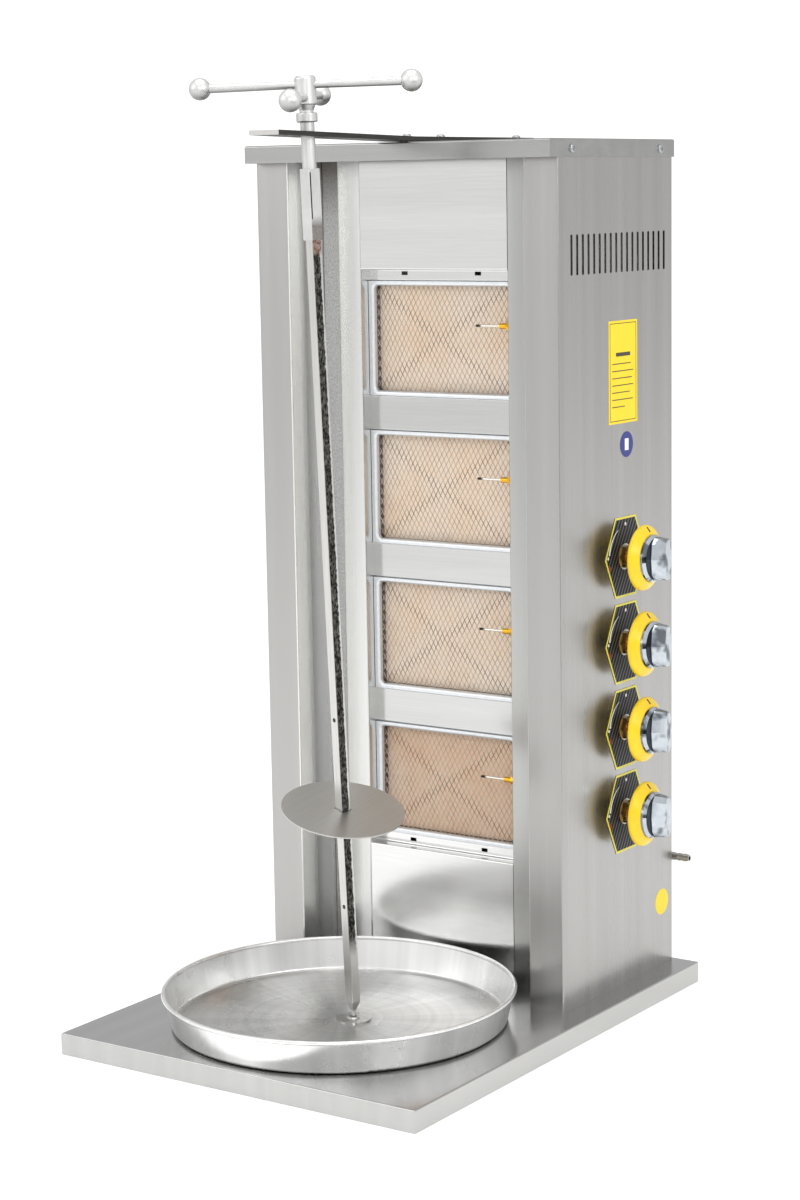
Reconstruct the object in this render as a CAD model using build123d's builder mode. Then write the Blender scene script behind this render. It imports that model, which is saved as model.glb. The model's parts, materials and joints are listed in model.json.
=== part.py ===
from build123d import *
import math
import os

os.makedirs("parts", exist_ok=True)

# ---------------------------------------------------------------------------
# Driving sizes, in millimetres.  X is across the machine, Y runs from the
# operator to the wall, Z is up from the underside of the base.
# ---------------------------------------------------------------------------
base_width = 500.0
base_depth = 640.0
base_height = 26.0
base_sheet = 1.5
base_lip = 20.0
total_height = 1050.0

body_sheet = 1.2
bend_radius = 2.0
rear_inset = 2.0
tower_depth = 269.0
side_margin = 36.0
column_width = 33.5
recess_width = 28.0
wing_width = 47.0
column_set_back = 63.0
column_return = 32.5
housing_set_back = 82.5
housing_overlap = 50.0
recess_set_back = 7.5
wing_return = 91.0
rear_seam = 0.8
inlet_pipe_radius = 6.0
inlet_hole_clearance = 1.0

cap_skirt = 21.0
cap_overhang = 20.0
cap_clearance = 0.6

vent_count = 18
vent_width = 4.7
vent_height = 46.4
vent_top_drop = 108.8
vent_front_margin = 29.0
vent_rear_margin = 21.5

burner_count = 4
upper_panel_band = 165.0
lower_panel_height = 153.9
strip_height = 43.7
ledge_below_burner = 14.0
ledge_to_burner = 14.0
frame_side_gap = 0.5
frame_border = 8.0
frame_border_ends = 6.0
frame_set_back = 15.2
frame_depth = 24.0
burner_sheet = 0.8
lip_depth = 6.0
lip_radius = 4.0
mesh_bulge = 7.0
mesh_gauge = 1.0
tile_thickness = 12.0
tile_gap = 0.4

panel_set_back = 0.5
strip_set_back = 18.5
support_flange = 14.0

valve_share = 0.57
valve_below_burner = 22.9
valve_from_front = 151.0
valve_body_half = 14.0
valve_body_height = 36.0
spindle_radius = 4.0
running_clearance = 0.08
knob_push_travel = 4.0
skirt_radius = 39.5
skirt_depth = 11.0
grip_depth = 16.0

arm_width = 41.0
arm_thickness = 5.4
arm_washer_height = 1.0
arm_rise = 1.2
arm_reach = 78.0
shaft_radius = 8.0

pan_front_gap = 2.0
pan_flare = 12.0
pan_height = 42.0
pan_gauge = 1.5
pan_gap_to_tower = 10.0

bar_side = 12.7
bar_twist = -13.0
foot_offset_x = 16.0
foot_offset_y = 6.0
hole_x = 2.5
hole_offset_y = -30.0
socket_wall = 1.9
socket_low_drop = 109.0
socket_length = 79.0
socket_grip = 30.0
disc_radius = 72.5
disc_gauge = 1.6
disc_looseness = 2.3
pin_radius = 2.5
pin_length = 42.0
pin_hole_pitch = 112.0
lowest_pin_hole = 166.5
handle_reach = 119.0
upper_bar_turn = 27.0
upper_bar_tilt = 1.2
lower_bar_turn = -61.8
lower_bar_tilt = -3.3

# ---------------------------------------------------------------------------
# Sizes that follow from the ones above.
# ---------------------------------------------------------------------------
tower_half = base_width / 2 - side_margin
wing_inner = tower_half - wing_width
column_outer = wing_inner - recess_width
bay_half = column_outer - column_width
tower_rear = base_depth / 2 - rear_inset
tower_front = tower_rear - tower_depth
column_front = tower_front + column_set_back
cap_underside = total_height - body_sheet
sheet_height = cap_underside - base_height
skirt_bottom = total_height - cap_skirt
recess_front = column_front + recess_set_back
recess_rear = tower_front + wing_return
housing_front = column_front + housing_set_back
panel_front = column_front + panel_set_back
strip_front = column_front + strip_set_back
bottom_of_burners = base_height + lower_panel_height + ledge_below_burner
top_of_burners = total_height - upper_panel_band
burner_pitch = (top_of_burners - bottom_of_burners + strip_height) / burner_count
frame_height = burner_pitch - strip_height
frame_width = 2 * (bay_half - frame_side_gap)
frame_front = column_front + frame_set_back
window_width = frame_width - 2 * frame_border
window_height = frame_height - 2 * frame_border_ends
lowest_burner = bottom_of_burners + frame_height / 2
burner_heights = [lowest_burner + i * burner_pitch for i in range(burner_count)]
valve_pitch = valve_share * burner_pitch
lowest_valve = lowest_burner - valve_below_burner
valve_heights = [lowest_valve + i * valve_pitch for i in range(burner_count)]
valve_y = tower_front + valve_from_front
mesh_plane = frame_front + lip_depth
body_plane = mesh_plane + mesh_gauge
venturi_y = valve_y - 2 * valve_body_half
rail_side = 18.0
valve_rear = tower_half - 36.0
rail_x = valve_rear - rail_side / 2
rail_bottom = lowest_valve - 101.0
inlet_z = rail_bottom + 15.0
vent_pitch = (tower_rear - tower_front - vent_front_margin - vent_rear_margin) / (vent_count - 1)
vent_middle_y = (tower_front + vent_front_margin + tower_rear - vent_rear_margin) / 2
vent_middle_z = total_height - vent_top_drop - vent_height / 2
screw_ys = [tower_front + 28.4, tower_rear - 33.8]
screw_z = skirt_bottom + cap_skirt / 2 - 1.0


def folded_sheet(points, plane, length, thickness, both=False):
    """Sheet bent along a line of points, the thickness laid on its left."""
    with BuildPart() as sheet:
        with BuildSketch(plane):
            with BuildLine():
                FilletPolyline(*points, radius=bend_radius)
                offset(amount=thickness, side=Side.LEFT, closed=True)
            make_face()
        extrude(amount=length, both=both)
    return sheet.part


def save(part, name):
    """Label one piece and write it."""
    part.label = name
    export_step(part, "parts/" + name + ".step")


# ---------------------------------------------------------------------------
# Base: a shallow folded tray with a hat-section stiffener below it.
# ---------------------------------------------------------------------------
with BuildPart() as base_tray:
    with BuildSketch(Plane.XY):
        Rectangle(base_width, base_depth)
    extrude(amount=base_height)
    fillet(base_tray.edges().group_by(Axis.Z)[-1], bend_radius)
    with BuildSketch(Plane.XY.offset(base_sheet)):
        Rectangle(base_width - 2 * base_sheet, base_depth - 2 * base_sheet)
    extrude(amount=base_height - 2 * base_sheet, mode=Mode.SUBTRACT)
    with BuildSketch(Plane.XY):
        Rectangle(base_width - 2 * base_lip, base_depth - 2 * base_lip)
    extrude(amount=base_sheet, mode=Mode.SUBTRACT)
save(base_tray.part, "base_tray")

hat_half = 30.0
hat_brim = 20.0
hat_top = base_height - 2 * base_sheet
hat_path = [
    (-hat_half - hat_brim, hat_top),
    (-hat_half, hat_top),
    (-hat_half, 0),
    (hat_half, 0),
    (hat_half, hat_top),
    (hat_half + hat_brim, hat_top),
]
base_stiffener = folded_sheet(hat_path, Plane.YZ, base_width / 2 - base_lip, base_sheet, True)
save(base_stiffener, "base_stiffener")

# ---------------------------------------------------------------------------
# Side panels: front flange with a return, flat side with vents, and a wide
# rear flange that closes the side cavity up to the rear housing panel.
# ---------------------------------------------------------------------------
rear_half = column_outer + body_sheet
side_path = [
    (wing_inner, tower_front + wing_return),
    (wing_inner, tower_front),
    (tower_half, tower_front),
    (tower_half, tower_rear),
    (rear_half + rear_seam, tower_rear),
]
side_blank = folded_sheet(side_path, Plane.XY.offset(base_height), sheet_height, body_sheet)

vent_spot = (vent_middle_y, vent_middle_z)
screw_radius = 2.0
boss_radius = 9.0
boss_clearance = 0.3

with BuildPart() as vented_side:
    add(side_blank)
    with BuildSketch(Plane.YZ.offset(tower_half)):
        with Locations(vent_spot):
            with GridLocations(vent_pitch, vent_height, vent_count, 1):
                RectangleRounded(vent_width, vent_height, 1.5)
        with Locations(*[(y, screw_z) for y in screw_ys]):
            Circle(screw_radius + 0.05)
    extrude(amount=-3 * body_sheet, mode=Mode.SUBTRACT)
left_side = mirror(vented_side.part, about=Plane.YZ)
save(left_side, "left_side_panel")

with BuildPart() as right_side:
    add(vented_side.part)
    with BuildSketch(Plane.YZ.offset(tower_half)):
        with Locations(*[(valve_y, z) for z in valve_heights]):
            Circle(boss_radius + boss_clearance)
    extrude(amount=-3 * body_sheet, mode=Mode.SUBTRACT)
    with BuildSketch(Plane.XZ.offset(-tower_rear)):
        with Locations((rail_x, inlet_z)):
            Circle(inlet_pipe_radius + inlet_hole_clearance)
    extrude(amount=3 * body_sheet, mode=Mode.SUBTRACT)
save(right_side.part, "right_side_panel")

# ---------------------------------------------------------------------------
# Rear housing panel: a wide channel closing the back of the burner housing.
# ---------------------------------------------------------------------------
rear_path = [
    (rear_half, housing_front),
    (rear_half, tower_rear),
    (-rear_half, tower_rear),
    (-rear_half, housing_front),
]
rear_blank = folded_sheet(rear_path, Plane.XY.offset(base_height), sheet_height, body_sheet)
rear_vent_count = 14
rear_vent_pitch = 2 * (rear_half - 30.0) / (rear_vent_count - 1)
with BuildPart() as rear_panel:
    add(rear_blank)
    with BuildSketch(Plane.XZ.offset(-tower_rear)):
        with Locations((0, vent_middle_z)):
            with GridLocations(rear_vent_pitch, vent_height, rear_vent_count, 1):
                RectangleRounded(vent_width, vent_height, 1.5)
    extrude(amount=3 * body_sheet, mode=Mode.SUBTRACT)
save(rear_panel.part, "rear_panel")

# ---------------------------------------------------------------------------
# Columns beside the burner bay and the rough strips in the recesses.
# ---------------------------------------------------------------------------
column_path = [
    (bay_half, column_front + column_return),
    (bay_half, column_front),
    (column_outer, column_front),
    (column_outer, housing_front + housing_overlap),
]
column_blank = folded_sheet(column_path, Plane.XY.offset(base_height), sheet_height, body_sheet)
save(mirror(column_blank, about=Plane.YZ), "left_column")

probe_y = column_front + 9.5
probe_rise = 18.0
probe_stub_radius = 3.0
venturi_radius = 12.0
probe_spots = [(probe_y, z + probe_rise) for z in burner_heights]
venturi_spots = [(venturi_y, z) for z in burner_heights]
with BuildPart() as right_column:
    add(column_blank)
    with BuildSketch(Plane.YZ.offset(bay_half - 1)):
        with Locations(*probe_spots):
            Circle(probe_stub_radius + 0.1)
    extrude(amount=2 * body_sheet + 1, mode=Mode.SUBTRACT)
    with BuildSketch(Plane.YZ.offset(column_outer - 2 * body_sheet)):
        with Locations(*venturi_spots):
            Circle(venturi_radius + 1.0)
    extrude(amount=4 * body_sheet, mode=Mode.SUBTRACT)
save(right_column.part, "right_column")

recess_path = [
    (column_outer, recess_rear),
    (column_outer, recess_front),
    (wing_inner, recess_front),
    (wing_inner, recess_rear),
]
recess_strip = folded_sheet(recess_path, Plane.XY.offset(base_height), sheet_height, body_sheet)
save(recess_strip, "right_recess_strip")
save(mirror(recess_strip, about=Plane.YZ), "left_recess_strip")

# ---------------------------------------------------------------------------
# Top cap: a folded lid over the tower with an overhang at the front.
# ---------------------------------------------------------------------------
cap_half = tower_half + cap_clearance + body_sheet
cap_front = tower_front - cap_overhang
cap_rear = tower_rear + cap_clearance + body_sheet
cap_middle_y = (cap_front + cap_rear) / 2
cap_length = cap_rear - cap_front
arm_bolt_radius = 3.0
arm_bolt_ys = [cap_front + 33.0, cap_front + 105.0, tower_rear - 13.0]
with BuildPart() as top_cap:
    with BuildSketch(Plane.XY.offset(skirt_bottom)):
        with Locations((0, cap_middle_y)):
            Rectangle(2 * cap_half, cap_length)
    extrude(amount=cap_skirt)
    fillet(top_cap.edges().group_by(Axis.Z)[-1], bend_radius)
    with BuildSketch(Plane.XY.offset(skirt_bottom)):
        with Locations((0, cap_middle_y)):
            Rectangle(2 * (cap_half - body_sheet), cap_length - 2 * body_sheet)
    extrude(amount=cap_skirt - body_sheet, mode=Mode.SUBTRACT)
    with BuildSketch(Plane.XY.offset(cap_underside - 1)):
        with Locations(*[(0, y) for y in arm_bolt_ys]):
            Circle(arm_bolt_radius + 0.1)
    extrude(amount=body_sheet + 2, mode=Mode.SUBTRACT)
    with BuildSketch(Plane.YZ.offset(-cap_half - 1)):
        with Locations(*[(y, screw_z) for y in screw_ys]):
            Circle(screw_radius + 0.1)
    extrude(amount=2 * cap_half + 2, mode=Mode.SUBTRACT)
save(top_cap.part, "top_cap")

# Pan-head screws holding the skirt to the side panels.
screw_head_radius = 5.0
screw_head_height = 2.8
screw_shank = 8.0
with BuildPart() as screw:
    with BuildSketch(Plane.YZ):
        Circle(screw_head_radius)
    extrude(amount=screw_head_height)
    fillet(screw.edges().group_by(Axis.X)[-1], 1.8)
    with BuildSketch(Plane.YZ.offset(-screw_shank)):
        Circle(screw_radius)
    extrude(amount=screw_shank)
    with BuildSketch(Plane.YZ.offset(screw_head_height - 1.4)):
        Rectangle(5.0, 1.1)
        Rectangle(1.1, 5.0)
    extrude(amount=2, mode=Mode.SUBTRACT)
screw_set = []
for y in screw_ys:
    right_screw = Pos(cap_half, y, screw_z) * screw.part
    screw_set.append(right_screw)
    screw_set.append(mirror(right_screw, about=Plane.YZ))
save(Compound(children=screw_set), "cap_screws")

# ---------------------------------------------------------------------------
# Front panels above, below and between the burners.
# ---------------------------------------------------------------------------
upper_path = [
    (panel_front, cap_underside),
    (panel_front, top_of_burners + ledge_to_burner),
    (strip_front, top_of_burners + ledge_to_burner),
    (strip_front, top_of_burners),
    (strip_front + support_flange, top_of_burners),
]
upper_blank = folded_sheet(upper_path, Plane.YZ, bay_half, body_sheet, True)
slot_spread = 106.0
slot_length = 8.8
slot_height = 4.6
with BuildPart() as upper_panel:
    add(upper_blank)
    with BuildSketch(Plane.XZ.offset(-strip_front + 1)):
        with Locations((0, top_of_burners + ledge_to_burner - 4.5)):
            with GridLocations(slot_spread, 1, 2, 1):
                Rectangle(slot_length, slot_height)
    extrude(amount=-2 * body_sheet - 1, mode=Mode.SUBTRACT)
save(upper_panel.part, "upper_front_panel")

lower_path = [
    (strip_front + support_flange, bottom_of_burners),
    (strip_front, bottom_of_burners),
    (strip_front, bottom_of_burners - ledge_below_burner),
    (panel_front, bottom_of_burners - ledge_below_burner),
    (panel_front, base_height),
]
lower_blank = folded_sheet(lower_path, Plane.YZ, bay_half, body_sheet, True)
with BuildPart() as lower_panel:
    add(lower_blank)
    with BuildSketch(Plane.XZ.offset(-strip_front + 1)):
        with Locations((0, bottom_of_burners - ledge_below_burner + 6.5)):
            with GridLocations(slot_spread, 1, 2, 1):
                Rectangle(slot_length, slot_height)
    extrude(amount=-2 * body_sheet - 1, mode=Mode.SUBTRACT)
save(lower_panel.part, "lower_front_panel")

strip_path = [
    (strip_front + support_flange, strip_height / 2),
    (strip_front, strip_height / 2),
    (strip_front, -strip_height / 2),
    (strip_front + support_flange, -strip_height / 2),
]
strip_blank = folded_sheet(strip_path, Plane.YZ, bay_half, body_sheet, True)
strip_set = []
for i in range(burner_count - 1):
    strip_middle = burner_heights[i] + burner_pitch / 2
    strip_set.append(Pos(0, 0, strip_middle) * strip_blank)
save(Compound(children=strip_set), "filler_strips")

# ---------------------------------------------------------------------------
# Burners.  Each is a pressed frame with a rolled lip, an expanded-metal guard
# creased to a shallow pyramid, two ceramic tiles and a cast mixing body.
# ---------------------------------------------------------------------------


def window_edges(part, level, width, height):
    """Edges of a window at one level along Y."""
    chosen = []
    for edge in part.edges():
        middle = edge.center()
        near = abs(middle.Y - level) < 0.05
        inside = abs(middle.X) < width / 2 + 0.2 and abs(middle.Z) < height / 2 + 0.2
        if near and inside:
            chosen.append(edge)
    return chosen


with BuildPart() as frame_core:
    with Locations((0, frame_front + burner_sheet + frame_depth / 2, 0)):
        Box(frame_width - 2 * burner_sheet, frame_depth, frame_height - 2 * burner_sheet)
    with BuildSketch(Plane.XZ.offset(-frame_front - burner_sheet)):
        RectangleRounded(window_width + 2 * burner_sheet, window_height + 2 * burner_sheet, 4.8)
    extrude(amount=-(lip_depth - burner_sheet), mode=Mode.SUBTRACT)
    core_level = frame_front + burner_sheet
    core_edges = window_edges(
        frame_core, core_level, window_width + 2 * burner_sheet, window_height + 2 * burner_sheet
    )
    fillet(core_edges, lip_radius - burner_sheet)

with BuildPart() as frame_blank:
    with Locations((0, frame_front + frame_depth / 2, 0)):
        Box(frame_width, frame_depth, frame_height)
    with BuildSketch(Plane.XZ.offset(-frame_front)):
        RectangleRounded(window_width, window_height, 4.0)
    extrude(amount=-lip_depth, mode=Mode.SUBTRACT)
    fillet(window_edges(frame_blank, frame_front, window_width, window_height), lip_radius)
    add(frame_core.part, mode=Mode.SUBTRACT)
    for end in (-1, 1):
        with Locations((0, frame_front + 10.0, end * frame_height / 2)):
            with GridLocations(slot_spread, 1, 2, 1):
                Box(8.0, 4.0, 4.0, mode=Mode.SUBTRACT)

mesh_width = window_width - 4.0
mesh_height = window_height - 4.0
rim_width = window_width + 8.0
rim_height = window_height + 6.0
with BuildPart() as mesh_hollow:
    with BuildSketch(Plane.XZ.offset(-body_plane)):
        Rectangle(mesh_width, mesh_height)
    with BuildSketch(Plane.XZ.offset(-body_plane + mesh_bulge)):
        Rectangle(6.0, 4.0)
    loft()

with BuildPart() as mesh_blank:
    with BuildSketch(Plane.XZ.offset(-mesh_plane)):
        Rectangle(mesh_width, mesh_height)
    with BuildSketch(Plane.XZ.offset(-mesh_plane + mesh_bulge)):
        Rectangle(6.0, 4.0)
    loft()
    with BuildSketch(Plane.XZ.offset(-mesh_plane)):
        Rectangle(rim_width, rim_height)
    extrude(amount=-mesh_gauge)
    add(mesh_hollow.part, mode=Mode.SUBTRACT)

tile_front = body_plane + 7.3
tile_back = tile_front + tile_thickness
tile_bay_width = window_width + 0.4
tile_bay_height = window_height + 1.0
tile_width = (tile_bay_width - tile_gap) / 2
body_wall = 2.0
body_depth = 50.3
venturi_end = column_outer + 11.0
flange_width = frame_width - 2 * burner_sheet
flange_height = frame_height - 2 * burner_sheet
with BuildPart() as body_blank:
    with Locations((0, body_plane + body_depth / 2, 0)):
        Box(tile_bay_width + 2 * body_wall, body_depth, tile_bay_height + 2 * body_wall)
    fillet(body_blank.edges().group_by(Axis.Y)[-1], 10.0)
    with Locations((0, body_plane + 0.75, 0)):
        Box(flange_width, 1.5, flange_height)
    with BuildSketch(Plane.YZ.offset(tile_bay_width / 2 - 6.0)):
        with Locations((venturi_y, 0)):
            Circle(venturi_radius)
    extrude(amount=venturi_end - tile_bay_width / 2 + 6.0)
    with Locations((0, (body_plane + tile_back) / 2, 0)):
        Box(tile_bay_width, tile_back - body_plane, tile_bay_height, mode=Mode.SUBTRACT)
    with Locations((0, tile_back + 12.0, 0)):
        Box(tile_bay_width - 14.0, 25.0, tile_bay_height - 14.0, mode=Mode.SUBTRACT)
    with BuildSketch(Plane.YZ.offset(tile_bay_width / 2 - 20.0)):
        with Locations((venturi_y, 0)):
            Circle(venturi_radius - 2.5)
    extrude(amount=venturi_end - tile_bay_width / 2 + 20.0, mode=Mode.SUBTRACT)

with BuildPart() as tile_pair:
    with Locations((0, (tile_front + tile_back) / 2, 0)):
        with GridLocations(tile_width + tile_gap, 1, 2, 1):
            Box(tile_width, tile_thickness, tile_bay_height)

for i in range(burner_count):
    place = Pos(0, 0, burner_heights[i])
    number = str(burner_count - i)
    save(place * frame_blank.part, "burner_frame_" + number)
    save(place * mesh_blank.part, "mesh_guard_" + number)
    save(place * body_blank.part, "burner_body_" + number)
    save(place * tile_pair.part, "ceramic_tiles_" + number)

# Flame probes screwed through the right column, one before each burner.
probe_reach = 50.0
with BuildPart() as probe:
    with BuildSketch(Plane.YZ.offset(bay_half - probe_reach)):
        Circle(1.5)
    extrude(amount=probe_reach - 6.0)
    with BuildSketch(Plane.YZ.offset(bay_half - 16.0)):
        Circle(3.4)
    extrude(amount=11.0)
    with BuildSketch(Plane.YZ.offset(bay_half - 6.0)):
        RegularPolygon(5.2, 6)
    extrude(amount=6.0)
    with BuildSketch(Plane.YZ.offset(bay_half)):
        Circle(probe_stub_radius)
    extrude(amount=12.0)
probe_set = [Pos(0, y, z) * probe.part for y, z in probe_spots]
save(Compound(children=probe_set), "flame_probes")

# ---------------------------------------------------------------------------
# Gas train in the right-hand cavity: rail, valves, tubes and hose tail.
# ---------------------------------------------------------------------------
valve_face = tower_half - 8.0
boss_end = tower_half + 7.0
rail_top = valve_heights[-1] + 32.0
with BuildPart() as gas_rail:
    with BuildSketch(Plane.XY.offset(rail_bottom)):
        with Locations((rail_x, valve_y)):
            RectangleRounded(rail_side, rail_side, 2.0)
    extrude(amount=rail_top - rail_bottom)
    with BuildSketch(Plane.XY.offset(rail_bottom + 2.0)):
        with Locations((rail_x, valve_y)):
            Rectangle(rail_side - 4.0, rail_side - 4.0)
    extrude(amount=rail_top - rail_bottom - 4.0, mode=Mode.SUBTRACT)
    with BuildSketch(Plane.YZ.offset(valve_rear - 3.0)):
        with Locations(*[(valve_y, z) for z in valve_heights]):
            Circle(3.0)
    extrude(amount=4.0, mode=Mode.SUBTRACT)
    with BuildSketch(Plane.XZ.offset(-valve_y - rail_side / 2 + 3.0)):
        with Locations((rail_x, inlet_z)):
            Circle(3.0)
    extrude(amount=-4.0, mode=Mode.SUBTRACT)
save(gas_rail.part, "gas_rail")

with BuildPart() as valve:
    with Locations(((valve_rear + valve_face) / 2, 0, 0)):
        Box(valve_face - valve_rear, 2 * valve_body_half, valve_body_height)
    fillet(valve.edges().filter_by(Axis.X), 4.0)
    with BuildSketch(Plane.YZ.offset(valve_face)):
        Circle(boss_radius)
    extrude(amount=boss_end - valve_face)
    with BuildSketch(Plane.YZ.offset(valve_rear + 12.0)):
        Circle(spindle_radius + running_clearance)
    extrude(amount=boss_end - valve_rear, mode=Mode.SUBTRACT)
valve_set = [Pos(0, valve_y, z) * valve.part for z in valve_heights]
save(Compound(children=valve_set), "valve_bodies")

nut_thickness = 6.0
with BuildPart() as valve_nut:
    with BuildSketch(Plane.YZ.offset(tower_half)):
        RegularPolygon(14.5, 6)
        Circle(boss_radius + 0.05, mode=Mode.SUBTRACT)
    extrude(amount=nut_thickness)
nut_set = [Pos(0, valve_y, z) * valve_nut.part for z in valve_heights]
save(Compound(children=nut_set), "valve_nuts")

dial_half_width = 49.0
dial_half_height = 48.5
dial_edge = 24.5
with BuildPart() as dial:
    with BuildSketch(Plane.YZ.offset(tower_half)):
        Polygon(
            (-dial_edge, dial_half_height),
            (-dial_half_width, 0),
            (-dial_edge, -dial_half_height),
            (dial_edge, -dial_half_height),
            (dial_half_width, 0),
            (dial_edge, dial_half_height),
            align=None,
        )
        Circle(16.0, mode=Mode.SUBTRACT)
    extrude(amount=0.5)
dial_set = [Pos(0, valve_y, z) * dial.part for z in valve_heights]
save(Compound(children=dial_set), "dial_plates")

tube_radius = 3.0
tube_set = []
for i in range(burner_count):
    tube_x = valve_rear + 6.0 + 12.0 * (i % 2)
    outlet_y = valve_y - valve_body_half
    with BuildPart() as gas_tube:
        with BuildLine() as tube_path:
            FilletPolyline(
                (tube_x, outlet_y, valve_heights[i]),
                (tube_x, venturi_y, valve_heights[i]),
                (tube_x, venturi_y, burner_heights[i]),
                (venturi_end + 6.0, venturi_y, burner_heights[i]),
                radius=8.0,
            )
        with BuildSketch(Plane.XZ.offset(-outlet_y)):
            with Locations((tube_x, valve_heights[i])):
                Circle(tube_radius)
        sweep(path=tube_path.line)
        with BuildSketch(Plane.YZ.offset(venturi_end)):
            with Locations((venturi_y, burner_heights[i])):
                Circle(venturi_radius)
        extrude(amount=2.5)
        with BuildSketch(Plane.YZ.offset(venturi_end + 2.5)):
            with Locations((venturi_y, burner_heights[i])):
                RegularPolygon(7.0, 6)
        extrude(amount=9.0)
    tube_set.append(gas_tube.part)
save(Compound(children=tube_set), "gas_tubes")

# Inlet: pipe through the rear flange, elbow block, stem and barbs.
tail_y = tower_rear + 13.0
tail_radius = 5.3
elbow_side = 18.0
stem_start = rail_x + elbow_side / 2
barb_start = tower_half - 5.0
barb_length = 7.5
barb_count = 3
with BuildPart() as hose_tail:
    with BuildSketch(Plane.XZ.offset(-valve_y - rail_side / 2)):
        with Locations((rail_x, inlet_z)):
            Circle(inlet_pipe_radius)
    extrude(amount=-(tail_y - valve_y - rail_side / 2))
    with Locations((rail_x, tail_y, inlet_z)):
        Box(elbow_side, elbow_side, elbow_side)
    with BuildSketch(Plane.YZ.offset(stem_start)):
        with Locations((tail_y, inlet_z)):
            RegularPolygon(8.5, 6)
    extrude(amount=8.0)
    with BuildSketch(Plane.YZ.offset(stem_start)):
        with Locations((tail_y, inlet_z)):
            Circle(tail_radius)
    extrude(amount=barb_start - stem_start)
    for i in range(barb_count):
        near = barb_start + i * barb_length
        with BuildSketch(Plane.YZ.offset(near)):
            with Locations((tail_y, inlet_z)):
                Circle(tail_radius)
        with BuildSketch(Plane.YZ.offset(near + barb_length)):
            with Locations((tail_y, inlet_z)):
                Circle(tail_radius - 1.1)
        loft()
    with BuildSketch(Plane.YZ.offset(rail_x)):
        with Locations((tail_y, inlet_z)):
            Circle(2.4)
    extrude(amount=barb_start + barb_count * barb_length - rail_x, mode=Mode.SUBTRACT)
save(hose_tail.part, "hose_tail")

# Valve spindles, knob skirts and knob caps.
spindle_tip = tower_half + 32.0
hub_rear = tower_half + 14.0
skirt_rear = tower_half + 25.0
skirt_front = skirt_rear + skirt_depth
cap_base = skirt_front + 7.0
grip_front = cap_base + grip_depth
hub_radius = 15.0
flat_depth = 1.0
flat_length = spindle_tip - hub_rear + knob_push_travel + 1.0

with BuildPart() as spindle:
    with BuildSketch(Plane.YZ.offset(valve_rear + 13.0)):
        Circle(spindle_radius)
    extrude(amount=spindle_tip - valve_rear - 13.0)
    with Locations((spindle_tip - flat_length / 2, 0, spindle_radius - flat_depth / 2)):
        Box(flat_length, 2 * spindle_radius, flat_depth, mode=Mode.SUBTRACT)

with BuildPart() as skirt:
    with BuildSketch(Plane.XY):
        with BuildLine():
            Polyline(
                (skirt_rear, skirt_radius - 2.5),
                (skirt_rear, skirt_radius),
                (skirt_rear + 3.0, skirt_radius),
                (skirt_front, 29.5),
                (skirt_front, hub_radius + 0.05),
                (skirt_front - 2.5, hub_radius + 0.05),
                (skirt_front - 2.5, 28.0),
                (skirt_rear + 3.0, skirt_radius - 3.0),
                close=True,
            )
        make_face()
    revolve(axis=Axis.X)
    outer_rim = skirt.edges().filter_by(GeomType.CIRCLE).sort_by(SortBy.RADIUS)[-2:]
    fillet(outer_rim.sort_by(Axis.X)[-1], 5.0)


def grip_outline(half_width, half_height):
    """Ten-sided outline of the grip, widest at mid height."""
    quarter = [(1.0, 0.0), (0.86, 0.72), (0.5, 1.0)]
    points = [(half_width * a, half_height * b) for a, b in quarter]
    points += [(-half_width * a, half_height * b) for a, b in reversed(quarter)]
    points += [(-half_width * a, -half_height * b) for a, b in quarter[1:]]
    points += [(half_width * a, -half_height * b) for a, b in reversed(quarter[1:])]
    return points


with BuildPart() as knob_cap:
    with BuildSketch(Plane.XY):
        with BuildLine():
            Polyline(
                (hub_rear, 0),
                (hub_rear, hub_radius),
                (skirt_front, hub_radius),
                (skirt_front, 28.5),
                (skirt_front + 3.0, 28.5),
                (cap_base, 25.5),
                (cap_base, 0),
                close=True,
            )
        make_face()
    revolve(axis=Axis.X)
    with BuildSketch(Plane.YZ.offset(cap_base)):
        Polygon(*grip_outline(15.5, 25.5), align=None)
    with BuildSketch(Plane.YZ.offset(grip_front)):
        Polygon(*grip_outline(8.0, 24.0), align=None)
    loft()
    chamfer(knob_cap.edges().group_by(Axis.X)[-1], 0.8)
    bore_radius = spindle_radius + running_clearance
    bore_length = spindle_tip - hub_rear + knob_push_travel + 1.5
    with BuildSketch(Plane.YZ.offset(hub_rear)):
        Circle(bore_radius)
        with Locations((0, bore_radius)):
            Rectangle(3 * bore_radius, 2 * flat_depth, mode=Mode.SUBTRACT)
    extrude(amount=bore_length, mode=Mode.SUBTRACT)

for i in range(burner_count):
    place = Pos(0, valve_y, valve_heights[i])
    number = str(burner_count - i)
    save(place * spindle.part, "valve_spindle_" + number)
    save(place * skirt.part, "knob_skirt_" + number)
    save(place * knob_cap.part, "knob_cap_" + number)

# Printed labels on the right side panel.
with BuildPart() as side_labels:
    with BuildSketch(Plane.YZ.offset(tower_half)):
        with Locations((valve_y - 4.0, total_height - 272.9)):
            Rectangle(68.0, 122.0)
        with Locations((valve_y + 4.0, total_height - 359.9)):
            Circle(15.5)
        with Locations((tower_rear - 28.2, base_height + 80.1)):
            Circle(16.3)
    extrude(amount=0.2)
save(side_labels.part, "side_labels")

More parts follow.
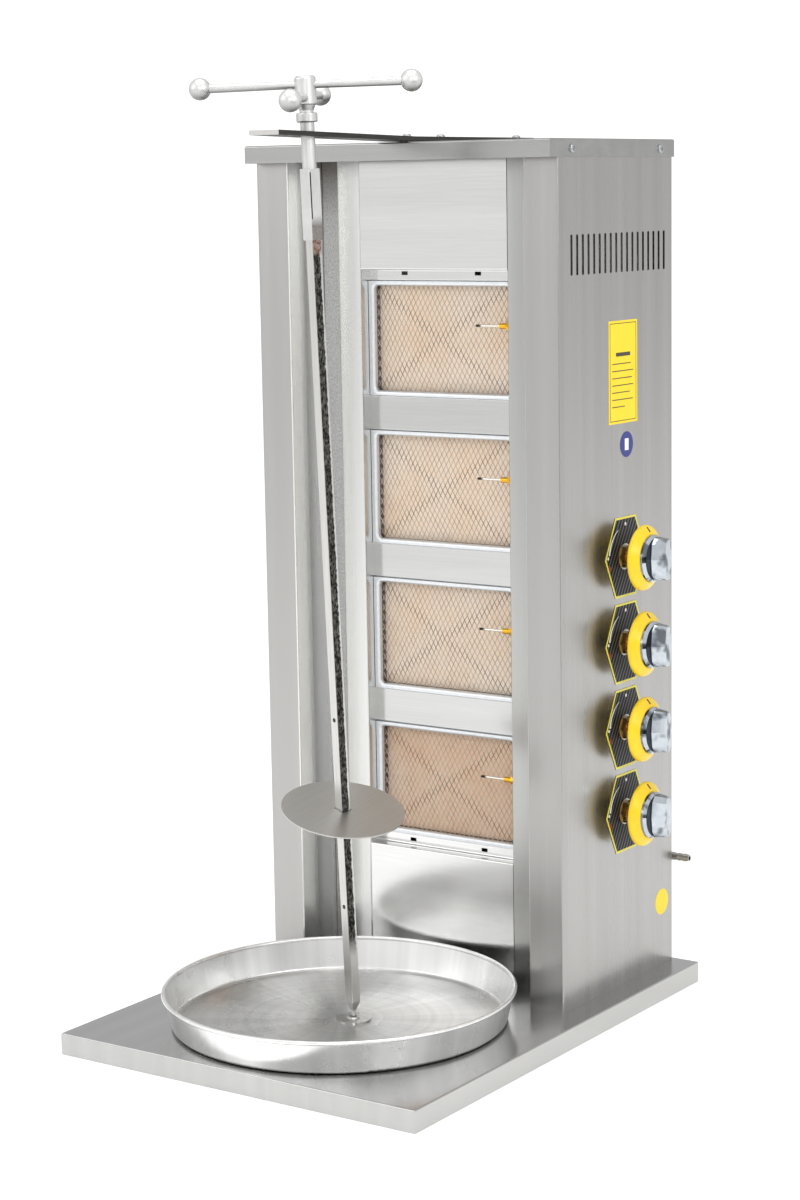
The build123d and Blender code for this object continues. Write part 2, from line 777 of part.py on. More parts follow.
# ---------------------------------------------------------------------------
# Drip pan with a rolled rim, and the loose pivot washer the spit stands on.
# ---------------------------------------------------------------------------
pan_rim_radius = (column_front - pan_gap_to_tower + base_depth / 2 - pan_front_gap) / 2
pan_floor_radius = pan_rim_radius - pan_flare
pan_y = column_front - pan_gap_to_tower - pan_rim_radius
pan_bottom = base_height
pan_floor = pan_bottom + pan_gauge
rim_bead = 2.6
with BuildPart() as drip_pan:
    with BuildSketch(Plane.XZ):
        with BuildLine():
            FilletPolyline(
                (0, pan_bottom),
                (pan_floor_radius, pan_bottom),
                (pan_rim_radius - rim_bead, pan_bottom + pan_height - rim_bead),
                radius=6.0,
            )
            offset(amount=pan_gauge, side=Side.LEFT, closed=True)
        make_face()
        with Locations((pan_rim_radius - rim_bead, pan_bottom + pan_height - rim_bead)):
            Circle(rim_bead)
    revolve(axis=Axis.Z)
save(Pos(0, pan_y, 0) * drip_pan.part, "drip_pan")

washer_radius = 21.0
washer_thickness = 2.0
tip_radius = 2.5
cup_floor = pan_floor + 1.0
boss_top = pan_floor + washer_thickness + 1.6
foot_x = foot_offset_x
foot_y = pan_y + foot_offset_y
with BuildPart() as pivot_washer:
    with BuildSketch(Plane.XY.offset(pan_floor)):
        Circle(washer_radius)
    extrude(amount=washer_thickness)
    with BuildSketch(Plane.XY.offset(pan_floor + washer_thickness)):
        Circle(8.0)
    with BuildSketch(Plane.XY.offset(boss_top)):
        Circle(6.4)
    loft()
    with BuildSketch(Plane.XY.offset(cup_floor)):
        Circle(4.6)
    extrude(amount=washer_thickness + 3.0, mode=Mode.SUBTRACT)
save(Pos(foot_x, foot_y, 0) * pivot_washer.part, "pivot_washer")

# ---------------------------------------------------------------------------
# Spit.  It leans a little, from the washer to the hole in the top arm.
# ---------------------------------------------------------------------------
arm_bottom = total_height + arm_washer_height
arm_top = arm_bottom + arm_thickness
arm_bend_y = arm_bolt_ys[0] - 12.0
arm_slope = math.tan(math.radians(arm_rise))
foot_z = cup_floor + tip_radius
hole_y = pan_y + hole_offset_y
hole_z = arm_bottom + (arm_bend_y - hole_y) * arm_slope + arm_thickness / 2
spit_direction = Vector(hole_x - foot_x, hole_y - foot_y, hole_z - foot_z).normalized()
level_x = (Vector(1, 0, 0) - spit_direction * spit_direction.X).normalized()
level_y = spit_direction.cross(level_x)
twist = math.radians(bar_twist)
bar_x = level_x * math.cos(twist) + level_y * math.sin(twist)
spit_plane = Plane(origin=(foot_x, foot_y, foot_z), x_dir=level_x, z_dir=spit_direction)
bar_plane = Plane(origin=(foot_x, foot_y, foot_z), x_dir=bar_x, z_dir=spit_direction)


def along_spit(height):
    """Distance along the leaning axis to a height above the ground."""
    return (height - foot_z) / spit_direction.Z


arm_front = hole_y - arm_reach
arm_rear = tower_rear - 2.0
arm_lift = (arm_bend_y - arm_front) * arm_slope
with BuildPart() as top_arm:
    with BuildSketch(Plane.YZ):
        Polygon(
            (arm_rear, arm_bottom),
            (arm_bend_y, arm_bottom),
            (arm_front, arm_bottom + arm_lift),
            (arm_front, arm_top + arm_lift),
            (arm_bend_y, arm_top),
            (arm_rear, arm_top),
            align=None,
        )
    extrude(amount=arm_width / 2, both=True)
    fillet(top_arm.edges().filter_by(Axis.Z), 1.5)
    with BuildSketch(spit_plane.offset(along_spit(hole_z) - 15)):
        Circle(shaft_radius + 0.1)
    extrude(amount=30, mode=Mode.SUBTRACT)
    with BuildSketch(Plane.XY.offset(arm_bottom - 1)):
        with Locations(*[(0, y) for y in arm_bolt_ys]):
            Circle(arm_bolt_radius + 0.1)
    extrude(amount=arm_thickness + 2, mode=Mode.SUBTRACT)
save(top_arm.part, "top_arm")

with BuildPart() as spacer:
    with BuildSketch(Plane.XY.offset(total_height)):
        Circle(6.0)
        Circle(arm_bolt_radius + 0.1, mode=Mode.SUBTRACT)
    extrude(amount=arm_washer_height)
spacer_set = [Pos(0, y, 0) * spacer.part for y in arm_bolt_ys]
save(Compound(children=spacer_set), "arm_spacers")

bolt_end = cap_underside - 10.0
with BuildPart() as arm_bolt:
    with BuildSketch(Plane.XY.offset(arm_top)):
        Circle(5.2)
    extrude(amount=3.3)
    fillet(arm_bolt.edges().group_by(Axis.Z)[-1], 2.6)
    with BuildSketch(Plane.XY.offset(bolt_end)):
        Circle(arm_bolt_radius)
    extrude(amount=arm_top - bolt_end)
with BuildPart() as arm_nut:
    with BuildSketch(Plane.XY.offset(cap_underside - 6.5)):
        RegularPolygon(5.7, 6)
        Circle(arm_bolt_radius + 0.05, mode=Mode.SUBTRACT)
    extrude(amount=6.5)
bolt_set = []
for y in arm_bolt_ys:
    bolt_set.append(Pos(0, y, 0) * arm_bolt.part)
    bolt_set.append(Pos(0, y, 0) * arm_nut.part)
save(Compound(children=bolt_set), "arm_bolts")

# Square skewer bar with cross holes and a pointed foot.
socket_side = bar_side + 2 * socket_wall
disc_hole = bar_side + disc_looseness
socket_low = total_height - socket_low_drop
socket_top = socket_low + socket_length
skewer_top = along_spit(socket_low + socket_grip)
neck_length = 7.0
neck_radius = tip_radius
taper_length = 19.0
pin_heights = [lowest_pin_hole + i * pin_hole_pitch for i in range(3)]
with BuildPart() as skewer:
    with BuildSketch(bar_plane.offset(taper_length)):
        Rectangle(bar_side, bar_side)
    extrude(amount=skewer_top - taper_length)
    chamfer(skewer.edges().filter_by(lambda e: e.length > skewer_top / 2), 0.7)
    with BuildSketch(bar_plane.offset(taper_length)):
        Rectangle(bar_side - 0.3, bar_side - 0.3)
    with BuildSketch(bar_plane.offset(neck_length)):
        Rectangle(1.5 * neck_radius, 1.5 * neck_radius)
    loft()
    with BuildSketch(bar_plane):
        Circle(neck_radius)
    extrude(amount=neck_length + 3.0)
    with Locations(Location(bar_plane)):
        Sphere(tip_radius)
    for height in pin_heights:
        reach = along_spit(height)
        hole_frame = Plane(origin=bar_plane.from_local_coords((0, 0, reach)),
                           x_dir=bar_plane.x_dir, z_dir=bar_plane.y_dir)
        with BuildSketch(hole_frame.offset(-bar_side)):
            Circle(pin_radius + 0.1)
        extrude(amount=2 * bar_side, mode=Mode.SUBTRACT)
save(skewer.part, "skewer")

# Cross pin in the middle hole.
pin_reach = along_spit(pin_heights[1])
pin_frame = Plane(origin=bar_plane.from_local_coords((0, 0, pin_reach)),
                  x_dir=bar_plane.x_dir, z_dir=bar_plane.y_dir)
pin_chamfer = 0.5
disc_clearance = 0.1
with BuildPart() as disc_pin:
    with BuildSketch(pin_frame.offset(-pin_length / 2)):
        Circle(pin_radius)
    extrude(amount=pin_length)
    chamfer(disc_pin.edges().filter_by(GeomType.CIRCLE), pin_chamfer)
save(disc_pin.part, "disc_pin")

# Thin meat disc, tipped over on the pin because its hole is loose.
disc_normal = Vector(0.2136, -0.1262, 0.9687).normalized()
along = disc_normal.dot(bar_plane.y_dir)
upward = disc_normal.dot(bar_plane.z_dir)
across = disc_normal.dot(bar_plane.x_dir)
pin_touch = abs(along) * (pin_length / 2 - pin_chamfer) + pin_radius * math.hypot(across, upward)
disc_reach = pin_reach + (pin_touch + disc_clearance) / upward
disc_plane = Plane(
    origin=bar_plane.from_local_coords((0, 0, disc_reach)),
    x_dir=bar_plane.x_dir - disc_normal * across,
    z_dir=disc_normal,
)
with BuildPart() as meat_disc:
    with BuildSketch(disc_plane):
        Circle(disc_radius)
        RectangleRounded(disc_hole, disc_hole, 1.0, mode=Mode.SUBTRACT)
    extrude(amount=disc_gauge)
save(meat_disc.part, "meat_disc")

# Handle casting: socket, shaft, collar, neck and hub on one axis.
hub_low = total_height + 40.0
hub_top = total_height + 72.0
collar_low = total_height + 21.0
collar_top = total_height + 31.5
bar_places = (
    (48.0, lower_bar_turn, lower_bar_tilt),
    (62.0, upper_bar_turn, upper_bar_tilt),
)
with BuildPart() as handle_hub:
    with BuildSketch(bar_plane.offset(along_spit(socket_low))):
        RectangleRounded(socket_side, socket_side, 1.2)
    extrude(amount=along_spit(socket_top) - along_spit(socket_low))
    with BuildSketch(bar_plane.offset(along_spit(socket_low))):
        Rectangle(bar_side + 0.2, bar_side + 0.2)
    extrude(amount=skewer_top - along_spit(socket_low), mode=Mode.SUBTRACT)
    with BuildSketch(spit_plane.offset(along_spit(socket_top))):
        Circle(shaft_radius)
    extrude(amount=along_spit(hub_low) - along_spit(socket_top))
    with BuildSketch(spit_plane.offset(along_spit(collar_low))):
        Circle(12.0)
    extrude(amount=along_spit(collar_top) - along_spit(collar_low))
    with BuildSketch(spit_plane.offset(along_spit(hub_low))):
        Circle(12.0)
    extrude(amount=along_spit(hub_top) - along_spit(hub_low))
    wide_rings = handle_hub.edges().filter_by(GeomType.CIRCLE).filter_by(lambda e: e.radius > 11.9)
    fillet(wide_rings.sort_by(Axis.Z)[-1], 4.0)
    fillet(wide_rings.sort_by(Axis.Z)[:-1], 1.6)
    with BuildSketch(spit_plane.offset(along_spit(hub_low) - 6.0)):
        Circle(shaft_radius)
    with BuildSketch(spit_plane.offset(along_spit(hub_low) + 0.5)):
        Circle(10.8)
    loft()
    for rise, turn, tilt in bar_places:
        middle = spit_plane.from_local_coords((0, 0, along_spit(total_height + rise)))
        bar_line = Pos(middle.X, middle.Y, middle.Z) * Rot(0, 0, turn) * Rot(0, 90 - tilt, 0)
        with BuildSketch(Plane(bar_line).offset(-20)):
            Circle(4.35)
        extrude(amount=40, mode=Mode.SUBTRACT)
save(handle_hub.part, "handle_hub")

# Two crossed bars with a ball at each end.
ball_radius = 12.5
with BuildPart() as handle_bar:
    with BuildSketch(Plane.XY):
        with BuildLine():
            Polyline(
                (-handle_reach, 0),
                (-handle_reach, 5.2),
                (-14, 4.3),
                (14, 4.3),
                (handle_reach, 5.2),
                (handle_reach, 0),
                close=True,
            )
        make_face()
    revolve(axis=Axis.X)
    with Locations((-handle_reach, 0, 0), (handle_reach, 0, 0)):
        Sphere(ball_radius)
bar_set = []
for rise, turn, tilt in bar_places:
    middle = spit_plane.from_local_coords((0, 0, along_spit(total_height + rise)))
    bar_line = Pos(middle.X, middle.Y, middle.Z) * Rot(0, 0, turn) * Rot(0, -tilt, 0)
    bar_set.append(bar_line * handle_bar.part)
save(Compound(children=bar_set), "handle_bars")
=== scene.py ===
import json
import math

import bpy
from mathutils import Matrix, Vector


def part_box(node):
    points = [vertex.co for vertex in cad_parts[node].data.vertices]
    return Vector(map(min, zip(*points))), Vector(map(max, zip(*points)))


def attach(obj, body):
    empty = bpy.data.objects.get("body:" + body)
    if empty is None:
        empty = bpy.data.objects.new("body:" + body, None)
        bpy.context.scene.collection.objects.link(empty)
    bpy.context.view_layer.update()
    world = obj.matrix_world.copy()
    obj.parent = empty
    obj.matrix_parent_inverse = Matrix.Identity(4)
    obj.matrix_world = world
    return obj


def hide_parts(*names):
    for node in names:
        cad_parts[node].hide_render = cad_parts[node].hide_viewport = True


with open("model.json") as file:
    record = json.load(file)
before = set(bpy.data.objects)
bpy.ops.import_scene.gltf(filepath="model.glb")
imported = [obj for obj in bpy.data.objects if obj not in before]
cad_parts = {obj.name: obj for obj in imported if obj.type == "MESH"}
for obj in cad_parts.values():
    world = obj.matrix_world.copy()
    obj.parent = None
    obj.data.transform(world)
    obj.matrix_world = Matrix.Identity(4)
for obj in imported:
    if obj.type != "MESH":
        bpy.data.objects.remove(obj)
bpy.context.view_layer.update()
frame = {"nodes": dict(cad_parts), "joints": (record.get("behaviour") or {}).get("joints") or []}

# ------------------------------
# Studio.  A long lens stands to the right of the machine at chest height.
# The floor is a matte opal light table, and the light is a pale tent with
# four soft boxes and two black cards.
# ------------------------------
bpy.ops.object.select_all(action="DESELECT")


def to_linear(hex_colour):
    """An sRGB hex colour as the linear values a shader takes."""
    parts = [int(hex_colour[i:i + 2], 16) / 255 for i in (1, 3, 5)]
    return [c / 12.92 if c <= 0.04045 else ((c + 0.055) / 1.055) ** 2.4 for c in parts] + [1.0]


def add_node(tree, kind, settings=None, links=None):
    """Adds a node, sets its values and sockets, and links sockets to it."""
    node = tree.nodes.new(kind)
    for key, value in (settings or {}).items():
        if isinstance(key, int) or key in node.inputs:
            node.inputs[key].default_value = value
        else:
            setattr(node, key, value)
    for key, socket in (links or {}).items():
        tree.links.new(socket, node.inputs[key])
    return node


def new_material(name, settings=None):
    """An empty node material with its shader, set to the values given, and output joined."""
    material = bpy.data.materials.new(name)
    material.use_nodes = True
    tree = material.node_tree
    tree.nodes.clear()
    shader = add_node(tree, "ShaderNodeBsdfPrincipled", settings)
    add_node(tree, "ShaderNodeOutputMaterial", links={"Surface": shader.outputs[0]})
    return material, tree, shader


lens_mm = 78.87
camera_spot = (1.7636, -2.5338, 0.9974)
camera_turn = math.radians(34.504)
camera_dip = math.radians(8.912)
camera_roll = math.radians(-0.939)
camera_data = bpy.data.cameras.new("studio_camera")
camera_data.sensor_fit = "VERTICAL"
camera_data.sensor_height = 36.0
camera_data.lens = lens_mm
camera_data.clip_end = 50.0
camera = bpy.data.objects.new("studio_camera", camera_data)
bpy.context.scene.collection.objects.link(camera)
camera.matrix_world = (
    Matrix.Translation(camera_spot)
    @ Matrix.Rotation(camera_turn, 4, "Z")
    @ Matrix.Rotation(math.pi / 2 - camera_dip, 4, "X")
    @ Matrix.Rotation(camera_roll, 4, "Z")
)
bpy.context.scene.camera = camera
bpy.context.scene.view_settings.view_transform = "Standard"

bpy.ops.mesh.primitive_plane_add(size=14.0, location=(0, 0, -0.0004))
floor = bpy.context.object
floor.name = "floor"
# The floor is a light table, lit a little from below.
light_table = new_material(
    "opal_light_table",
    {"Base Color": to_linear("#f2f2f2"), "Roughness": 0.9,
     "Emission Color": to_linear("#ffffff"), "Emission Strength": 0.35})[0]
floor.data.materials.append(light_table)

world = bpy.data.worlds.new("pale_tent")
world.use_nodes = True
bpy.context.scene.world = world
tree = world.node_tree
tree.nodes.clear()
place = add_node(tree, "ShaderNodeTexCoord")
behind = add_node(tree, "ShaderNodeVectorMath", {"operation": "DOT_PRODUCT", 1: (-0.566, 0.824, 0.0)},
                  {0: place.outputs["Generated"]})
# The backdrop is white, and the metal sees a greyer tent behind the machine
# than before it, so that round pieces have darker edges.
level = add_node(tree, "ShaderNodeMapRange",
                 {"interpolation_type": "SMOOTHSTEP", "From Min": 0.1, "From Max": 0.85,
                  "To Min": 0.95, "To Max": 0.66},
                 {0: behind.outputs["Value"]})
seen = add_node(tree, "ShaderNodeLightPath")
strength = add_node(tree, "ShaderNodeMixRGB", {"Color2": (1.2, 1.2, 1.2, 1.0)},
                    {"Fac": seen.outputs["Is Camera Ray"], "Color1": level.outputs[0]})
tent = add_node(tree, "ShaderNodeBackground", {"Color": to_linear("#fefefe")},
                {"Strength": strength.outputs[0]})
add_node(tree, "ShaderNodeOutputWorld", links={"Surface": tent.outputs[0]})

machine_middle = Vector((0.0, 0.0, 0.5))
for name, spot, width, power in (
    ("soft_box_left", (-2.2, -2.9, 2.3), 1.8, 16.0),
    ("soft_box_right", (3.3, -0.9, 1.9), 1.2, 20.0),
    ("soft_box_above", (0.2, -0.4, 3.2), 2.0, 22.0),
    ("soft_box_front", (2.2, -3.2, 1.75), 0.9, 11.0),
):
    lamp = bpy.data.lights.new(name, "AREA")
    lamp.size = width
    lamp.energy = power
    box = bpy.data.objects.new(name, lamp)
    bpy.context.scene.collection.objects.link(box)
    aim = machine_middle - Vector(spot)
    box.matrix_world = Matrix.Translation(spot) @ aim.to_track_quat("-Z", "Y").to_matrix().to_4x4()

# Two black cards, off to the right, put dark lines into the chrome.
black_card = new_material(
    "black_card", {"Base Color": to_linear("#1c1d20"), "Roughness": 0.8})[0]
card_size = (0.42, 1.1, 1.0)
for name, spot, turn in (
    ("card_right", (1.95, -0.55, 0.45), math.radians(75.0)),
    ("card_front", (1.52, -1.34, 0.42), math.radians(44.0)),
):
    bpy.ops.mesh.primitive_plane_add(size=1.0, location=spot, rotation=(math.pi / 2, 0, turn))
    card = bpy.context.object
    card.name = name
    card.scale = card_size
    card.data.materials.append(black_card)
    card.visible_camera = False

# ------------------------------
# Sheet-metal tower and base.  Folded 304 stainless, linished on a belt, so
# fine straight scratches run up the tower and along the base; the faces
# across the grain look soft and silky.
# ------------------------------


def linished_steel(name, colour, grain, roughness, stretch, turn, around,
                   painted_light_inner=None, limit=("Z", 0.0)):
    """Belt-linished stainless: fine scratches along one direction.

    The inner colour, if there is one, is painted light: a paler colour for
    what is nearer the origin than the limit, which is an axis and a distance.
    """
    material, tree, shader = new_material(
        name, {"Metallic": 1.0, "Anisotropic": stretch, "Anisotropic Rotation": turn})
    place = add_node(tree, "ShaderNodeTexCoord").outputs["Object"]
    fine = add_node(tree, "ShaderNodeMapping", {"Scale": grain}, {0: place})
    scratch = add_node(tree, "ShaderNodeTexNoise",
                       {"Scale": 1.0, "Detail": 3.0, "Roughness": 0.6}, {0: fine.outputs[0]})
    broad = add_node(tree, "ShaderNodeMapping", {"Scale": [g * 0.06 for g in grain]}, {0: place})
    band = add_node(tree, "ShaderNodeTexNoise", {"Scale": 1.0, "Detail": 1.0}, {0: broad.outputs[0]})
    tone = add_node(tree, "ShaderNodeMath", {"operation": "MULTIPLY_ADD", 1: 0.7},
                    {0: scratch.outputs[0], 2: band.outputs[0]})
    shade = add_node(tree, "ShaderNodeMapRange",
                     {"From Min": 0.5, "From Max": 1.2, "To Min": 0.92, "To Max": 1.05},
                     {0: tone.outputs[0]})
    parts = add_node(tree, "ShaderNodeSeparateXYZ", links={0: place})
    reach = add_node(tree, "ShaderNodeMath", {"operation": "ABSOLUTE"}, {0: parts.outputs[limit[0]]})
    nearer = add_node(tree, "ShaderNodeMath", {"operation": "LESS_THAN", 1: limit[1]},
                      {0: reach.outputs[0]})
    mixed = add_node(tree, "ShaderNodeMixRGB",
                     {"Color1": to_linear(colour), "Color2": to_linear(painted_light_inner or colour)},
                     {"Fac": nearer.outputs[0]})
    shaded = add_node(tree, "ShaderNodeVectorMath", {"operation": "SCALE"},
                      {0: mixed.outputs[0], "Scale": shade.outputs[0]})
    tree.links.new(shaded.outputs[0], shader.inputs["Base Color"])
    gloss = add_node(tree, "ShaderNodeMapRange",
                     {"To Min": roughness - 0.04, "To Max": roughness + 0.04}, {0: band.outputs[0]})
    tree.links.new(gloss.outputs[0], shader.inputs["Roughness"])
    bump = add_node(tree, "ShaderNodeBump", {"Strength": 0.06, "Distance": 0.0002},
                    {"Height": scratch.outputs[0]})
    tree.links.new(bump.outputs[0], shader.inputs["Normal"])
    direction = add_node(tree, "ShaderNodeTangent", {"direction_type": "RADIAL", "axis": around})
    tree.links.new(direction.outputs[0], shader.inputs["Tangent"])
    return material


def finish_nodes(material, *names):
    """Gives CAD nodes a finish."""
    for name in names:
        node = frame["nodes"][name]
        if not node.data.materials:
            node.data.materials.append(material)
        for slot in node.material_slots:
            slot.material = material


# Grain 1 mm apart is coarser than the real 0.2 mm, so that it shows.
# The wings' bay sides and the base's edges are painted paler than the faces beside them: painted light.
painted_light_bay_limit = ("X", 0.1684)
painted_light_edge_limit = ("Z", 0.0255)
grain_up = (900.0, 900.0, 7.0)
base_steel = linished_steel("linished_stainless_base", "#bababa", (900.0, 7.0, 40.0),
                            0.20, 0.4, 0.0, "Y", "#bcbcba", painted_light_edge_limit)
# The sides, columns and cap are one steel, given lighter and darker colours piece by piece as painted
# light and shade.
left_side_steel = linished_steel("linished_stainless_left_side", "#b2b1af", grain_up,
                                 0.27, 0.5, 0.25, "Z", "#f2f2f0", painted_light_bay_limit)
side_steel = linished_steel("linished_stainless_right_side", "#adacaa", grain_up,
                            0.27, 0.5, 0.25, "Z", "#dededc", painted_light_bay_limit)
left_column_steel = linished_steel("linished_stainless_left_column", "#d6d6d4", grain_up,
                                   0.22, 0.5, 0.25, "Z")
right_column_steel = linished_steel("linished_stainless_right_column", "#b4b4b2", grain_up,
                                    0.22, 0.5, 0.25, "Z")
front_steel = linished_steel("bright_annealed_fronts", "#dfdfde", (12.0, 500.0, 400.0),
                             0.15, 0.15, 0.0, "Z")
strip_steel = linished_steel("bright_annealed_strips", "#c6c6c5", (12.0, 500.0, 500.0),
                             0.17, 0.15, 0.0, "X")
cap_steel = linished_steel("linished_stainless_cap", "#a9a9a8", (7.0, 900.0, 900.0),
                           0.24, 0.4, 0.0, "X")
finish_nodes(base_steel, "base_tray", "base_stiffener")
finish_nodes(left_side_steel, "left_side_panel")
finish_nodes(side_steel, "right_side_panel", "rear_panel")
finish_nodes(left_column_steel, "left_column")
finish_nodes(right_column_steel, "right_column")
finish_nodes(front_steel, "upper_front_panel", "lower_front_panel")
finish_nodes(strip_steel, "filler_strips")
finish_nodes(cap_steel, "top_cap")

# ------------------------------
# Recess strips.  Hot-dip galvanised sheet left bare behind the wings; the
# zinc has a dull, faintly mottled skin with a rough streaked middle.
# ------------------------------
zinc_strip, tree, shader = new_material("galvanised_sheet", {"Metallic": 0.85, "Roughness": 0.5})
place = add_node(tree, "ShaderNodeTexCoord").outputs["Object"]
stretch = add_node(tree, "ShaderNodeMapping", {"Scale": (620.0, 620.0, 420.0)}, {0: place})
streak = add_node(tree, "ShaderNodeTexNoise", {"Scale": 1.0, "Detail": 3.0}, {0: stretch.outputs[0]})
mixed = add_node(tree, "ShaderNodeMixRGB",
                 {"Color1": to_linear("#6f706f"), "Color2": to_linear("#efefef")},
                 {"Fac": streak.outputs[0]})
# The top end is painted darker and browner: painted shade at the top of the recess.
shade_from = 0.96
shade_to = 1.03
parts = add_node(tree, "ShaderNodeSeparateXYZ", links={0: place})
painted_shade_top = add_node(tree, "ShaderNodeMapRange",
                   {"From Min": shade_from, "From Max": shade_to, "To Max": 0.8},
                   {0: parts.outputs["Z"]})
top_painted_shade = add_node(tree, "ShaderNodeMixRGB", {"Color2": to_linear("#5d524b")},
                   {"Fac": painted_shade_top.outputs[0], "Color1": mixed.outputs[0]})
tree.links.new(top_painted_shade.outputs[0], shader.inputs["Base Color"])
bump = add_node(tree, "ShaderNodeBump", {"Strength": 0.4, "Distance": 0.0004},
                {"Height": streak.outputs[0]})
tree.links.new(bump.outputs[0], shader.inputs["Normal"])
finish_nodes(zinc_strip, "left_recess_strip", "right_recess_strip")

# ------------------------------
# Fasteners.  Zinc-plated steel screws, bolts, nuts and spacers, pressed and
# turned, with a bright slightly bluish plating.
# ------------------------------


def mottled(name, darker, paler, scale, detail, settings, relief=None):
    """A skin that wanders between two tones, and stands up by the same pattern.

    The relief is a strength and a height in metres, where there is any.
    """
    material, tree, shader = new_material(name, settings)
    place = add_node(tree, "ShaderNodeTexCoord").outputs["Object"]
    patch = add_node(tree, "ShaderNodeTexNoise", {"Scale": scale, "Detail": detail}, {0: place})
    mixed = add_node(tree, "ShaderNodeMixRGB", {"Color1": to_linear(darker), "Color2": to_linear(paler)},
                     {"Fac": patch.outputs[0]})
    tree.links.new(mixed.outputs[0], shader.inputs["Base Color"])
    if relief:
        bump = add_node(tree, "ShaderNodeBump", {"Strength": relief[0], "Distance": relief[1]},
                        {"Height": patch.outputs[0]})
        tree.links.new(bump.outputs[0], shader.inputs["Normal"])
    return material


zinc_plate = mottled("zinc_plated_steel", "#8f9193", "#c9cbcd", 420.0, 4.0,
                     {"Metallic": 1.0, "Roughness": 0.28})
finish_nodes(zinc_plate, "cap_screws", "arm_bolts", "arm_spacers")

# ------------------------------
# Burner frames.  Pressed aluminised steel, almost white, with a rolled lip.
# The cast mixing bodies behind are plain grey iron.
# ------------------------------
aluminised = mottled("aluminised_steel", "#d3d7da", "#eef0f2", 240.0, 5.0,
                     {"Metallic": 0.8, "Roughness": 0.36}, (0.12, 0.0003))
grey_iron = mottled("grey_cast_iron", "#55565a", "#7b7c7f", 700.0, 4.0,
                    {"Metallic": 0.7, "Roughness": 0.6}, (0.5, 0.0005))
burner_numbers = (1, 2, 3, 4)
for number in burner_numbers:
    finish_nodes(aluminised, f"burner_frame_{number}")
    finish_nodes(grey_iron, f"burner_body_{number}")

# ------------------------------
# Ceramic tiles.  Cordierite plates, pressed with rows of fine holes, that
# glow when the gas burns on them; they fire to a pale peach and tan with heat.
# ------------------------------
cordierite, tree, shader = new_material("perforated_cordierite", {"Roughness": 0.85})
place = add_node(tree, "ShaderNodeTexCoord").outputs["Object"]
# The real holes are 1.3 mm apart; 2.6 mm shows at this distance.
holes = add_node(tree, "ShaderNodeTexVoronoi", {"Scale": 385.0, "Randomness": 0.0}, {0: place})
rim = add_node(tree, "ShaderNodeMapRange", {"From Min": 0.22, "From Max": 0.34},
               {0: holes.outputs["Distance"]})
stain = add_node(tree, "ShaderNodeTexNoise", {"Scale": 14.0, "Detail": 4.0}, {0: place})
fired = add_node(tree, "ShaderNodeMixRGB",
                 {"Color1": to_linear("#fffaf2"), "Color2": to_linear("#ffdcb8")},
                 {"Fac": stain.outputs[0]})
# The lowest burner has run longest and is tanned.
lowest_tile_top = 0.355
parts = add_node(tree, "ShaderNodeSeparateXYZ", links={0: place})
lowest = add_node(tree, "ShaderNodeMath", {"operation": "LESS_THAN", 1: lowest_tile_top},
                  {0: parts.outputs["Z"]})
tanned = add_node(tree, "ShaderNodeMath", {"operation": "MULTIPLY_ADD", 1: 0.35, 2: 0.22},
                  {0: stain.outputs[0]})
tan_there = add_node(tree, "ShaderNodeMath", {"operation": "MULTIPLY"},
                     {0: lowest.outputs[0], 1: tanned.outputs[0]})
worn = add_node(tree, "ShaderNodeMixRGB", {"Color2": to_linear("#dda26c")},
                {"Fac": tan_there.outputs[0], "Color1": fired.outputs[0]})
pierced = add_node(tree, "ShaderNodeMixRGB", {"Color1": to_linear("#ecc9a4")},
                   {"Fac": rim.outputs[0], "Color2": worn.outputs[0]})
tree.links.new(pierced.outputs[0], shader.inputs["Base Color"])
bump = add_node(tree, "ShaderNodeBump", {"Strength": 0.5, "Distance": 0.0008},
                {"Height": rim.outputs[0]})
tree.links.new(bump.outputs[0], shader.inputs["Normal"])
for number in burner_numbers:
    finish_nodes(cordierite, f"ceramic_tiles_{number}")

# ------------------------------
# Guards.  Expanded steel mesh, slit and stretched to upright diamonds and
# creased from corner to corner, browned by the heat of the tiles.
# ------------------------------
mesh_steel, tree, shader = new_material("heat_browned_steel_mesh", {"Metallic": 0.75, "Roughness": 0.45})
place = add_node(tree, "ShaderNodeTexCoord").outputs["Object"]
burn = add_node(tree, "ShaderNodeTexNoise", {"Scale": 60.0, "Detail": 4.0}, {0: place})
mixed = add_node(tree, "ShaderNodeMixRGB",
                 {"Color1": to_linear("#9c8874"), "Color2": to_linear("#eadfd2")},
                 {"Fac": burn.outputs[0]})
# The two folds from corner to corner of each guard are painted darker and browner: painted shade along
# the creases.
guard_half_width = 0.0968
guard_half_height = 0.0638
lowest_guard_middle = 0.2639
guard_pitch = 0.1837
parts = add_node(tree, "ShaderNodeSeparateXYZ", links={0: place})
rise = add_node(tree, "ShaderNodeMath",
                {"operation": "WRAP", 1: lowest_guard_middle + guard_pitch / 2,
                 2: lowest_guard_middle - guard_pitch / 2},
                {0: parts.outputs["Z"]})
height = add_node(tree, "ShaderNodeMath", {"operation": "SUBTRACT", 1: lowest_guard_middle},
                  {0: rise.outputs[0]})
up = add_node(tree, "ShaderNodeMath", {"operation": "ABSOLUTE"}, {0: height.outputs[0]})
aside = add_node(tree, "ShaderNodeMath", {"operation": "ABSOLUTE"}, {0: parts.outputs["X"]})
slant = add_node(tree, "ShaderNodeMath",
                 {"operation": "MULTIPLY_ADD", 1: -guard_half_height / guard_half_width},
                 {0: aside.outputs[0], 2: up.outputs[0]})
off_fold = add_node(tree, "ShaderNodeMath", {"operation": "ABSOLUTE"}, {0: slant.outputs[0]})
fold_painted_shade = add_node(tree, "ShaderNodeMapRange",
                   {"From Min": 0.011, "From Max": 0.001, "To Max": 0.6}, {0: off_fold.outputs[0]})
folds_shaded = add_node(tree, "ShaderNodeMixRGB", {"Color2": to_linear("#5a4636")},
                  {"Fac": fold_painted_shade.outputs[0], "Color1": mixed.outputs[0]})
tree.links.new(folds_shaded.outputs[0], shader.inputs["Base Color"])

